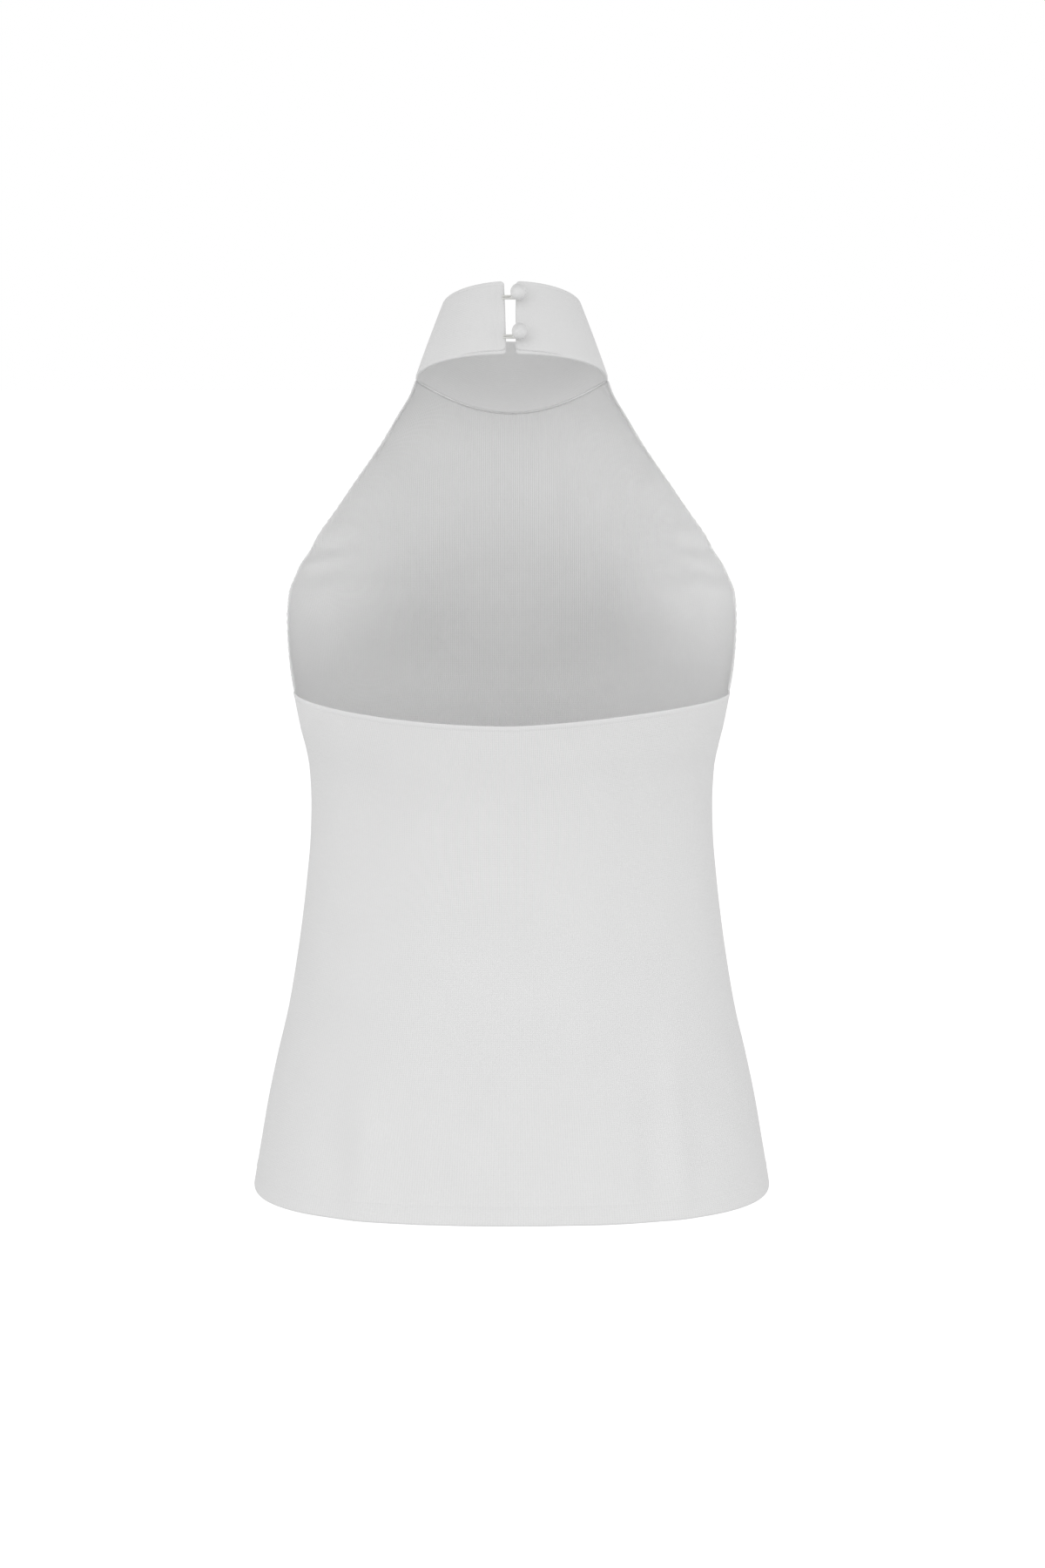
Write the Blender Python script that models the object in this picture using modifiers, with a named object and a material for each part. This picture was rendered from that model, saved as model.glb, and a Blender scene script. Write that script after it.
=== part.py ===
"""Halter-neck top with an open back, in fine ribbed knit, filled out as worn but with no wearer.

Frame: metres, +Z up, the front faces -Y and the wearer's left is +X. The origin is the centre of the
neck opening, level with the two points where the collar meets the halter edges.
"""

import math
from collections import namedtuple

import bpy
import numpy as np

# ---------------------------------------------------------------- driving sizes, in metres

KNIT = 0.0014  # wall of one layer of the ribbed knit
HEM_WALL = 0.0024  # wall where the hem is turned up inside
HEM_TURN = 0.013  # depth of the turned-up hem
COLLAR_WALL = 0.0026  # the collar is a band folded double
SEAM_GAP = 0.0003  # air between two pieces at a seam
SIDE_SET_BACK = 0.0004  # from the side seam to each panel's outer edge: the walls lean inside it

FRONT_COLUMNS, FRONT_ROWS = 36, 40
BACK_COLUMNS, BACK_ROWS = 32, 20
COLLAR_COLUMNS, COLLAR_ROWS = 56, 4

# Full sections from the hem to the underarm. front and back are depths from the side seams, and
# corner is the superellipse exponent: 2 is an ellipse, more is squarer.
Ring = namedtuple("Ring", "z half_width front back corner")
RINGS = (
    Ring(-0.5408, 0.1748, 0.1130, 0.1180, 2.80),
    Ring(-0.5127, 0.1700, 0.1115, 0.1155, 2.65),
    Ring(-0.4823, 0.1647, 0.1100, 0.1120, 2.50),
    Ring(-0.4521, 0.1582, 0.1075, 0.1080, 2.45),
    Ring(-0.4220, 0.1510, 0.1055, 0.1035, 2.40),
    Ring(-0.3920, 0.1456, 0.1035, 0.0985, 2.45),
    Ring(-0.3620, 0.1412, 0.1015, 0.0935, 2.45),
    Ring(-0.3322, 0.1377, 0.1000, 0.0900, 2.45),
    Ring(-0.3025, 0.1351, 0.0995, 0.0880, 2.45),
    Ring(-0.2803, 0.1345, 0.1010, 0.0875, 2.45),
    Ring(-0.2582, 0.1355, 0.1055, 0.0890, 2.45),
    Ring(-0.2335, 0.1409, 0.1115, 0.0930, 2.45),
    Ring(-0.2085, 0.1456, 0.1165, 0.0975, 2.50),
)

# Rows of the front above the underarm, from one halter edge to the other. A row falls from its edge
# to its centre, and its depth follows (1 - t ** power) ** root, with t from 0 at the centre to 1.
Yoke = namedtuple("Yoke", "edge_z edge_x edge_y centre_z centre_y power root")
YOKE = (
    Yoke(-0.1997, 0.1474, -0.0030, -0.2000, -0.1168, 2.50, 0.43),
    Yoke(-0.1857, 0.1496, -0.0090, -0.1866, -0.1165, 2.50, 0.47),
    Yoke(-0.1718, 0.1511, -0.0170, -0.1736, -0.1155, 2.45, 0.53),
    Yoke(-0.1579, 0.1519, -0.0260, -0.1607, -0.1132, 2.40, 0.60),
    Yoke(-0.1439, 0.1511, -0.0350, -0.1480, -0.1102, 2.35, 0.66),
    Yoke(-0.1298, 0.1456, -0.0420, -0.1352, -0.1063, 2.30, 0.72),
    Yoke(-0.1153, 0.1375, -0.0470, -0.1223, -0.1012, 2.25, 0.77),
    Yoke(-0.1007, 0.1283, -0.0490, -0.1093, -0.0955, 2.20, 0.80),
    Yoke(-0.0859, 0.1178, -0.0480, -0.0963, -0.0893, 2.15, 0.82),
    Yoke(-0.0710, 0.1076, -0.0450, -0.0833, -0.0830, 2.10, 0.81),
    Yoke(-0.0560, 0.0969, -0.0390, -0.0704, -0.0770, 2.05, 0.77),
    Yoke(-0.0411, 0.0866, -0.0310, -0.0576, -0.0715, 2.00, 0.70),
    Yoke(-0.0262, 0.0774, -0.0210, -0.0449, -0.0665, 2.00, 0.60),
    Yoke(-0.0085, 0.0667, -0.0070, -0.0302, -0.0617, 2.00, 0.53),
    Yoke(-0.0009, 0.0638, 0.0000, -0.0237, -0.0600, 2.00, 0.50),
)

# The bust fullness of the cut, on a general figure: one soft swelling each side of the centre.
Fullness = namedtuple("Fullness", "x z depth across above below")
BUST = Fullness(x=0.074, z=-0.188, depth=0.008, across=0.042, above=0.050, below=0.036)

# The largest folds, as soft troughs: where the middle lies, the length and width, the lean from
# upright towards the wearer's left in degrees, and how deep it is.
Fold = namedtuple("Fold", "x z length width lean depth")
FRONT_FOLDS = (
    Fold(x=0.130, z=-0.131, length=0.034, width=0.015, lean=-60, depth=0.0016),
    Fold(x=-0.131, z=-0.128, length=0.032, width=0.015, lean=57, depth=0.0015),
    Fold(x=0.084, z=-0.312, length=0.120, width=0.052, lean=-5, depth=0.0022),
    Fold(x=-0.088, z=-0.302, length=0.110, width=0.050, lean=7, depth=0.0020),
)
BACK_FOLDS = (
    Fold(x=0.090, z=-0.303, length=0.120, width=0.056, lean=-4, depth=0.0026),
    Fold(x=-0.092, z=-0.310, length=0.130, width=0.054, lean=5, depth=0.0024),
)

# The upper edge of the back rises to the side seams, where it stands a little above the last ring,
# and dips towards the centre. The hem dips too, front and back.
BACK_EDGE_DIP = 0.0128
BACK_EDGE_RISE = 0.0020
BACK_EDGE_LEAN = 0.0030  # the edge hangs lower on its left half than on its right
HEM_DIP = 0.0028

# Collar rings. rise_back and fall_front are heights from the side points to the centres.
Neck = namedtuple("Neck", "half_width centre_y back front corner side_z rise_back fall_front")
NECK_BASE = Neck(0.0638, 0.0, 0.0580, 0.0600, 2.2, -0.0009, 0.0187, 0.0228)
NECK_TOP = Neck(0.0456, -0.0120, 0.0460, 0.0460, 1.95, 0.0487, 0.0158, 0.0246)
COLLAR_BULGE = 0.0003  # how far the band rounds out between its edges
COLLAR_CORNER = 0.0030  # radius of the corners at the back opening

# The collar's two ends at the back opening, across the base and the top.
LEFT_END_BASE, LEFT_END_TOP = 0.0034, 0.0050
RIGHT_END_BASE, RIGHT_END_TOP = -0.0025, -0.0025

# Ball buttons on the right end. height is the share of the collar's height where the shank is sewn.
Button = namedtuple("Button", "name height from_end")
BUTTONS = (
    Button("button_upper", 0.797, 0.0016),
    Button("button_lower", 0.189, 0.0025),
)
BALL_RADIUS = 0.0050
BALL_TALL = 1.10  # the balls are slightly oval, taller than wide
SHANK_RADIUS = 0.0007
SHANK_LENGTH = 0.0024
SHANK_FOOT_RADIUS = 0.0014
SHANK_FOOT = 0.0005
BALL_STEPS, BALL_ARC = 20, 12

# Elastic loops sewn into the left end and passed round the shanks.
LOOP_CORD = 0.0007  # radius
LOOP_LEGS = 0.0019  # distance between the two legs where they leave the collar
LOOP_DEPTH = 0.0009  # from the collar's outer face to where the legs meet its left end
LOOP_LEAD = 0.0006  # how far the legs run straight out of the collar
LOOP_BEND = SHANK_RADIUS * BALL_TALL + LOOP_CORD + SEAM_GAP
LOOP_BEND_STEPS = 8


# ---------------------------------------------------------------- curves and sections


def slopes_through(rows, knots):
    """Slopes of a curve through rows that never swings past them."""
    steps = np.diff(rows, axis=0) / np.diff(knots)[:, None]
    before, after = steps[:-1], steps[1:]
    product = before * after
    total = np.where(product > 0, before + after, 1.0)
    inner = np.where(product > 0, 2 * product / total, 0.0)
    return np.concatenate([steps[:1], inner, steps[-1:]])


def spline(rows, count):
    """Rows of numbers made count rows by a smooth curve through them, even along its length."""
    rows = np.array(rows, float)
    gaps = np.linalg.norm(np.diff(rows[:, :3], axis=0), axis=1)
    knots = np.concatenate([[0.0], np.cumsum(gaps)])
    slopes = slopes_through(rows, knots)
    places = np.linspace(0.0, knots[-1], count)
    span = np.clip(np.searchsorted(knots, places, "right") - 1, 0, len(knots) - 2)
    width = (knots[span + 1] - knots[span])[:, None]
    u = (places - knots[span])[:, None] / width
    before, after = rows[span], rows[span + 1]
    return (
        (2 * u**3 - 3 * u**2 + 1) * before
        + (u**3 - 2 * u**2 + u) * width * slopes[span]
        + (3 * u**2 - 2 * u**3) * after
        + (u**3 - u**2) * width * slopes[span + 1]
    )


def evenly(points, count):
    """count points at even distances along the line through points."""
    points = np.array(points, float)
    steps = np.linalg.norm(np.diff(points, axis=0), axis=1)
    along = np.concatenate([[0.0], np.cumsum(steps)])
    places = np.linspace(0.0, along[-1], count)
    return np.stack([np.interp(places, along, axis) for axis in points.T], axis=1)


def quarter_shares(count=90):
    """Shares of a half width from the centre to the edge, closer together near the edge."""
    return np.sin(np.linspace(0.0, math.pi / 2, count))


def mirrored(half):
    """The whole row, from -X to +X, of a half row that runs from the centre to +X."""
    other = half[:0:-1] * np.array([-1.0, 1.0, 1.0])
    return np.concatenate([other, half])


def bust_depth(x, z):
    """How far the bust fullness stands forward at a point of the front."""
    reach = np.where(z > BUST.z, BUST.above, BUST.below)
    upright = np.exp(-(((z - BUST.z) / reach) ** 2))
    sideways = sum(np.exp(-(((x - side * BUST.x) / BUST.across) ** 2)) for side in (-1, 1))
    return BUST.depth * upright * sideways


def front_half(row):
    """Half a row of the front, from the centre to its left edge, in fine steps."""
    t = quarter_shares()
    x = row.edge_x * t
    z = row.edge_z + (row.centre_z - row.edge_z) * (1 - t**2)
    y = row.edge_y + (row.centre_y - row.edge_y) * (1 - t**row.power) ** row.root
    y = y - bust_depth(x, z) * (1 - t**4)
    return np.stack([x, y, z], axis=1)


def ring_as_yoke(ring):
    """A full section's front half, in the columns of the yoke's table."""
    return Yoke(ring.z, ring.half_width, 0.0, ring.z, -ring.front, ring.corner, 1 / ring.corner)


def height_share(rows):
    """Heights as shares, from 0 at the hem to 1 at the underarm."""
    hem_z, top_z = RINGS[0].z, RINGS[-1].z
    return np.clip((rows[..., 2] - hem_z) / (top_z - hem_z), 0.0, 1.0)


def hem_dipped(rows):
    """The rows with the hem's middle lowered."""
    across = rows[..., 0] / rows[:, -1:, 0]
    rows[..., 2] -= (1 - across**2) * HEM_DIP * (1 - height_share(rows)) ** 2
    return rows


def back_edge_drop(across):
    """How far the back's upper edge lies below the last ring, with across from -1 to 1."""
    dip = BACK_EDGE_DIP * (1 - np.abs(across) ** 1.5) - BACK_EDGE_RISE
    return dip + BACK_EDGE_LEAN * across * (1 - across**2)


def folded(rows, folds):
    """The rows with each fold pressed in, level and at right angles to the cloth."""
    along = np.gradient(rows, axis=1)
    inward = np.stack([-along[..., 1], along[..., 0], np.zeros(rows.shape[:2])], axis=2)
    inward /= np.linalg.norm(inward, axis=2)[..., None]
    depth = np.zeros(rows.shape[:2])
    for fold in folds:
        lean = math.radians(fold.lean)
        right, up = rows[..., 0] - fold.x, rows[..., 2] - fold.z
        lengthwise = right * math.sin(lean) + up * math.cos(lean)
        crosswise = right * math.cos(lean) - up * math.sin(lean)
        reach = (2 * lengthwise / fold.length) ** 2 + (2 * crosswise / fold.width) ** 2
        depth += fold.depth * np.exp(-reach)
    return rows + inward * depth[..., None]


def front_rows():
    """The front's outer surface: rows from the hem to the neck seam, each from -X to +X."""
    table = [ring_as_yoke(ring) for ring in RINGS] + list(YOKE)
    rows = []
    for numbers in spline(table, FRONT_ROWS + 1):
        half = front_half(Yoke(*numbers))
        rows.append(evenly(mirrored(half), FRONT_COLUMNS + 1))
    return folded(hem_dipped(np.array(rows)), FRONT_FOLDS)


def back_half(ring):
    """Half a section of the back, from the centre to the left side seam, in fine steps."""
    t = quarter_shares()
    y = ring.back * (1 - t**ring.corner) ** (1 / ring.corner)
    return np.stack([ring.half_width * t, y, np.full_like(t, ring.z)], axis=1)


def back_rows():
    """The back's outer surface: rows from the hem to the upper edge, each from +X to -X."""
    rows = []
    for numbers in spline(RINGS, BACK_ROWS + 1):
        half = back_half(Ring(*numbers))
        rows.append(evenly(mirrored(half), BACK_COLUMNS + 1))
    rows = np.array(rows)
    across = rows[..., 0] / rows[:, -1:, 0]
    drop = back_edge_drop(across) * height_share(rows) ** 2
    rows = hem_dipped(rows)
    rows[..., 2] -= drop
    return folded(rows[:, ::-1], BACK_FOLDS)


def neck_ring(neck, start_x, end_x, is_base):
    """One edge of the collar, from its left end round the front to its right end, in fine steps."""
    angles = np.linspace(0.0, 2 * math.pi, 721)
    across, along = np.sin(angles), np.cos(angles)
    at_back = along > 0
    corner = np.where(at_back, neck.corner, 2.0)
    depth = np.where(at_back, neck.back, neck.front)
    x = neck.half_width * np.sign(across) * np.abs(across) ** (2 / corner)
    share = np.abs(along) ** (2 / corner)
    y = neck.centre_y + depth * np.sign(along) * share
    slope = 0.0 if is_base else neck.rise_back
    fall = slope * share + (neck.fall_front - slope) * share**2
    z = neck.side_z + np.where(at_back, neck.rise_back * share, -fall)
    first = np.argmax(x > start_x)
    last = len(x) - 1 - np.argmax(x[::-1] < end_x)
    points = np.stack([x, y, z], axis=1)[first : last + 1]
    points[0, 0], points[-1, 0] = start_x, end_x
    return points


def collar_rows():
    """The collar's outer surface: rows from its base to its top, each from the left end round the
    front to the right end. Its corners at the opening are rounded."""
    base = neck_ring(NECK_BASE, LEFT_END_BASE, RIGHT_END_BASE, is_base=True)
    top = neck_ring(NECK_TOP, LEFT_END_TOP, RIGHT_END_TOP, is_base=False)
    base = collar_columns(base)
    top = collar_columns(top)
    out = base - np.array([0.0, NECK_BASE.centre_y, 0.0])
    out[:, 2] = 0.0
    out /= np.linalg.norm(out, axis=1)[:, None]
    rows = []
    for v in np.linspace(0.0, 1.0, COLLAR_ROWS + 1):
        rows.append(base * (1 - v) + top * v + out * COLLAR_BULGE * 4 * v * (1 - v))
    rows = np.array(rows)
    height = np.linalg.norm(top - base, axis=1)
    trim = (corner_trim(base) / height)[:, None]
    upward = rows[-1] - rows[0]
    rows[-1] -= upward * trim
    rows[0] += upward * trim
    return rows


def collar_columns(line):
    """The columns' points along an edge of the collar: even, with a finer step at each rounded end."""
    steps = np.linalg.norm(np.diff(line, axis=0), axis=1)
    along = np.concatenate([[0.0], np.cumsum(steps)])
    round_end = COLLAR_CORNER * np.array([0.0, 0.12, 0.4, 1.0])
    inner = np.linspace(COLLAR_CORNER, along[-1] - COLLAR_CORNER, COLLAR_COLUMNS - 5)
    places = np.concatenate([round_end[:-1], inner, (along[-1] - round_end[:-1])[::-1]])
    return np.stack([np.interp(places, along, axis) for axis in line.T], axis=1)


def corner_trim(line):
    """How much height the rounded corners take at each column."""
    steps = np.linalg.norm(np.diff(line, axis=0), axis=1)
    along = np.concatenate([[0.0], np.cumsum(steps)])
    near = np.clip(np.minimum(along, along[-1] - along) / COLLAR_CORNER, 0.0, 1.0)
    return COLLAR_CORNER * (1 - np.sqrt(1 - (1 - near) ** 2))


# ---------------------------------------------------------------- objects


def fresh_scene():
    """Removes what the scene holds and returns the garment's own collection."""
    for old in list(bpy.data.objects):
        bpy.data.objects.remove(old, do_unlink=True)
    garment = bpy.data.collections.new("halter_top")
    bpy.context.scene.collection.children.link(garment)
    return garment


def finish(name, colour, roughness, sheen=0.0):
    """A Principled material for one kind of piece."""
    material = bpy.data.materials.new(name)
    material.use_nodes = True
    shader = material.node_tree.nodes["Principled BSDF"]
    shader.inputs["Base Color"].default_value = (*colour, 1.0)
    shader.inputs["Roughness"].default_value = roughness
    shader.inputs["Sheen Weight"].default_value = sheen
    shader.inputs["Metallic"].default_value = 0.0
    return material


def sheet_from_rows(name, rows, material, garment):
    """An open surface through rows of points, its faces turned outwards."""
    row_count, column_count = rows.shape[:2]
    faces = [
        (
            r * column_count + c,
            r * column_count + c + 1,
            (r + 1) * column_count + c + 1,
            (r + 1) * column_count + c,
        )
        for r in range(row_count - 1)
        for c in range(column_count - 1)
    ]
    mesh = bpy.data.meshes.new(name)
    mesh.from_pydata(rows.reshape(-1, 3).tolist(), [], faces)
    mesh.materials.append(material)
    piece = bpy.data.objects.new(name, mesh)
    garment.objects.link(piece)
    mesh.shade_smooth()
    return piece


def thicken(piece, wall, thin_share=1.0, thick_points=None):
    """Gives an open surface its wall, inwards. thick_points take the whole wall, and the others
    thin_share of it."""
    solidify = piece.modifiers.new("wall", "SOLIDIFY")
    solidify.thickness = wall
    solidify.offset = -1.0
    solidify.use_even_offset = True
    solidify.use_rim = True
    if thick_points:
        group = piece.vertex_groups.new(name="turned_up_hem")
        group.add(list(thick_points), 1.0, "REPLACE")
        solidify.vertex_group = group.name
        solidify.thickness_vertex_group = thin_share


def turn_up_hem(rows):
    """Sets the second row at the top of the turned-up hem, and returns the hem's point numbers."""
    rise = rows[1] - rows[0]
    rows[1] = rows[0] + rise * (HEM_TURN / rise[:, 2])[:, None]
    return range(2 * rows.shape[1])


def make_front(material, garment):
    """The front: from the hem to the neck seam, with the halter edges cut in above the underarm."""
    rows = front_rows()
    hem = turn_up_hem(rows)
    below_underarm = rows[:, 0, 2] <= RINGS[-1].z
    rows[below_underarm, 0, 1] -= SIDE_SET_BACK
    rows[below_underarm, -1, 1] -= SIDE_SET_BACK
    piece = sheet_from_rows("front_panel", rows, material, garment)
    thicken(piece, HEM_WALL, KNIT / HEM_WALL, hem)


def make_back(material, garment):
    """The back: from the hem to its upper edge below the shoulder blades."""
    rows = back_rows()
    hem = turn_up_hem(rows)
    rows[:, 0, 1] += SIDE_SET_BACK
    rows[:, -1, 1] += SIDE_SET_BACK
    piece = sheet_from_rows("back_panel", rows, material, garment)
    thicken(piece, HEM_WALL, KNIT / HEM_WALL, hem)


def make_collar(material, garment):
    """The stand collar: one folded band, open at the centre back."""
    rows = collar_rows()
    rows[..., 2] += SEAM_GAP
    piece = sheet_from_rows("collar_band", rows[:, ::-1], material, garment)
    thicken(piece, COLLAR_WALL)


def collar_place(height, from_end):
    """A point of the collar's outer surface near its right end, and the outward normal there."""
    rows = collar_rows()
    rows[..., 2] += SEAM_GAP
    line = rows[0] * (1 - height) + rows[-1] * height
    place = line[-1] + np.array([-from_end, COLLAR_BULGE * 4 * height * (1 - height), 0.0])
    upward = rows[-1, -1] - rows[0, -1]
    normal = np.array([0.0, upward[2], -upward[1]])
    return place, normal / np.linalg.norm(normal)


def button_profile():
    """Half the outline of a button, from the ball's pole down to the shank's foot."""
    ball_centre = SHANK_FOOT + SHANK_LENGTH + BALL_RADIUS
    last = math.pi - math.asin(SHANK_RADIUS / BALL_RADIUS)
    ball = [
        (BALL_RADIUS * math.sin(a), ball_centre + BALL_RADIUS * math.cos(a))
        for a in np.linspace(0.0, last, BALL_ARC + 1)
    ]
    shank = [(SHANK_RADIUS, SHANK_FOOT), (SHANK_FOOT_RADIUS, SHANK_FOOT), (SHANK_FOOT_RADIUS, 0.0)]
    return [*ball, *shank, (0.0, 0.0)]


def make_button(button, material, garment):
    """A ball button with its shank, a turned shape standing off the collar by the seam gap."""
    point, normal = collar_place(button.height, button.from_end)
    profile = button_profile()
    mesh = bpy.data.meshes.new(button.name)
    edges = [(i, i + 1) for i in range(len(profile) - 1)]
    mesh.from_pydata([(x, 0.0, z) for x, z in profile], edges, [])
    mesh.materials.append(material)
    piece = bpy.data.objects.new(button.name, mesh)
    garment.objects.link(piece)
    turn = piece.modifiers.new("turned", "SCREW")
    turn.steps = turn.render_steps = BALL_STEPS
    turn.use_merge_vertices = True
    turn.merge_threshold = 0.00002
    turn.use_smooth_shade = True
    piece.location = point + normal * SEAM_GAP
    piece.scale = (BALL_TALL, 1.0, 1.0)
    rise = math.asin(normal[2])
    heading = math.atan2(normal[1], normal[0])
    piece.rotation_euler = (0.0, math.pi / 2 - rise, heading)


def loop_path(button):
    """The centreline of an elastic loop: out of the left end, round the shank and back."""
    point, normal = collar_place(button.height, button.from_end)
    shank = point + normal * (SEAM_GAP + SHANK_FOOT + SHANK_LENGTH / 2)
    rows = collar_rows()
    left_end = rows[0, 0] * (1 - button.height) + rows[-1, 0] * button.height
    root = left_end - normal * LOOP_DEPTH
    root += np.array([-SEAM_GAP, 0.0, SEAM_GAP])
    across = np.array([-1.0, 0.0, 0.0])
    upward = np.cross(normal, across)
    upward *= math.copysign(1.0, upward[2]) / np.linalg.norm(upward)
    bend = [
        shank + (across * math.sin(a) + upward * math.cos(a)) * LOOP_BEND
        for a in np.linspace(0.0, math.pi, LOOP_BEND_STEPS + 1)
    ]
    upper, lower = (root + upward * (side * LOOP_LEGS / 2) for side in (1, -1))
    lead = across * LOOP_LEAD
    return [upper, upper + lead, *bend, lower + lead, lower]


def make_loop(button, material, garment):
    """The elastic loop that goes with a button, as a round cord with flat ends."""
    name = button.name.replace("button", "loop")
    path = loop_path(button)
    curve = bpy.data.curves.new(name, "CURVE")
    curve.dimensions = "3D"
    curve.bevel_depth = LOOP_CORD
    curve.bevel_resolution = 2
    curve.use_fill_caps = True
    line = curve.splines.new("POLY")
    line.points.add(len(path) - 1)
    for place, point in zip(line.points, path):
        place.co = (*point, 1.0)
    curve.materials.append(material)
    garment.objects.link(bpy.data.objects.new(name, curve))


def main():
    garment = fresh_scene()
    knit = finish("white_rib_knit", (0.74, 0.745, 0.74), 0.85, sheen=0.3)
    ball = finish("pearl_white_resin", (0.78, 0.785, 0.78), 0.25)
    elastic = finish("white_elastic_cord", (0.70, 0.70, 0.69), 0.7)
    make_front(knit, garment)
    make_back(knit, garment)
    make_collar(knit, garment)
    for button in BUTTONS:
        make_button(button, ball, garment)
        make_loop(button, elastic, garment)


if __name__ == "__main__":
    main()
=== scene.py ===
"""The looks of a white rib-knit halter-neck top with an open back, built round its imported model.

Metres, +Z up. The front faces -Y, the open back faces +Y, and the wearer's left is +X. The origin
is the centre of the neck opening. The photograph shows the top from behind, filled out with no
wearer.
"""

import logging
import math
from dataclasses import dataclass
from enum import Enum
from typing import ClassVar, NamedTuple

import bpy
import numpy as np
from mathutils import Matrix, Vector


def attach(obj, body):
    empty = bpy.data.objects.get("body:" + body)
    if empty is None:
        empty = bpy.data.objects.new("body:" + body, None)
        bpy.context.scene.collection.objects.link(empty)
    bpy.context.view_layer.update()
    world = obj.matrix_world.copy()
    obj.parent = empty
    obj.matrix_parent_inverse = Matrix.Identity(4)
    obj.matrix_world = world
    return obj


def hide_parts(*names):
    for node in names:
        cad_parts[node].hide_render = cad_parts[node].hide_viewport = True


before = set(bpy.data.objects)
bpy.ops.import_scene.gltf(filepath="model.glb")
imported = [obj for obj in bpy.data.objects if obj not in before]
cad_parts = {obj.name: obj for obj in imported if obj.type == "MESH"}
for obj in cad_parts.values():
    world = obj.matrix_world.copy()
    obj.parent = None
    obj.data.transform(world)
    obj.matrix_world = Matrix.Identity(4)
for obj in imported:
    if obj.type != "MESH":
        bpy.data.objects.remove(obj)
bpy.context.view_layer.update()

LOG = logging.getLogger("halter_top")
MM = 0.001
WHITE = (1.0, 1.0, 1.0, 1.0)
Socket = bpy.types.NodeSocket
Material = bpy.types.Material
Piece = bpy.types.Object
Array = np.ndarray
Pair = tuple[Array, Array]  # mostly a line's points and their outward directions
Triple = tuple[float, float, float]

# ---- driving sizes, as in the CAD

KNIT = 1.4 * MM  # wall of one layer of the ribbed knit
HEM_WALL = 2.4 * MM  # wall where the hem is turned up inside
HEM_TURN = 13.0 * MM  # depth of the turned-up hem
COLLAR_WALL = 2.6 * MM  # the collar is a band folded double
SEAM_GAP = 0.3 * MM  # air between two pieces at a seam
BACK_EDGE_DIP = 12.8 * MM  # how far the back's upper edge dips towards its centre
BACK_EDGE_RISE = 2.0 * MM  # how far it stands above the last ring at the side seams
BACK_EDGE_LEAN = 3.0 * MM  # it hangs lower on its left half than on its right
HEM_DIP = 2.8 * MM  # how far the hem dips towards its centre, front and back
COLLAR_BULGE = 0.3 * MM  # how far the collar rounds out between its edges
COLLAR_CORNER = 3.0 * MM  # radius of the collar's corners at the back opening
LEFT_END = (3.4 * MM, 5.0 * MM)  # the collar's left end, across the base and the top
RIGHT_END = (-2.5 * MM, -2.5 * MM)  # its right end
SIDE_STITCH_SUNK = 0.55 * MM  # how far the side seams' stitches are pulled in
HALF_ROW_STEPS = 240  # points that half a row is worked out at
RING_STEPS = 1441  # points that a ring of the collar is worked out at


class Ring(NamedTuple):
    """A full section: depths from the side seams, and the superellipse exponent of its corners."""

    z: float
    half_width: float
    front: float
    back: float
    corner: float


class Yoke(NamedTuple):
    """A row of the front above the underarm: it falls from its edges to its centre, and its depth
    follows (1 - t ** power) ** root, with t from 0 at the centre to 1 at the edge."""

    edge_z: float
    edge_x: float
    edge_y: float
    centre_z: float
    centre_y: float
    power: float
    root: float


class Neck(NamedTuple):
    """A ring of the collar, with the heights from its side points to its centres."""

    half_width: float
    centre_y: float
    back: float
    front: float
    corner: float
    side_z: float
    rise_back: float
    fall_front: float


class Fold(NamedTuple):
    """A soft trough: its middle, length and width, its lean from upright towards the wearer's left
    in degrees, and its depth inwards. A ridge has a depth below 0."""

    x: float
    z: float
    length: float
    width: float
    lean: float
    depth: float


# The sections from the hem up to the underarm, the front's rows above it up to the neck seam, and
# the collar's two edges.
RINGS = (
    Ring(-0.5408, 0.1748, 0.1130, 0.1180, 2.80),
    Ring(-0.5127, 0.1700, 0.1115, 0.1155, 2.65),
    Ring(-0.4823, 0.1647, 0.1100, 0.1120, 2.50),
    Ring(-0.4521, 0.1582, 0.1075, 0.1080, 2.45),
    Ring(-0.4220, 0.1510, 0.1055, 0.1035, 2.40),
    Ring(-0.3920, 0.1456, 0.1035, 0.0985, 2.45),
    Ring(-0.3620, 0.1412, 0.1015, 0.0935, 2.45),
    Ring(-0.3322, 0.1377, 0.1000, 0.0900, 2.45),
    Ring(-0.3025, 0.1351, 0.0995, 0.0880, 2.45),
    Ring(-0.2803, 0.1345, 0.1010, 0.0875, 2.45),
    Ring(-0.2582, 0.1355, 0.1055, 0.0890, 2.45),
    Ring(-0.2335, 0.1409, 0.1115, 0.0930, 2.45),
    Ring(-0.2085, 0.1456, 0.1165, 0.0975, 2.50),
)
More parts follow.
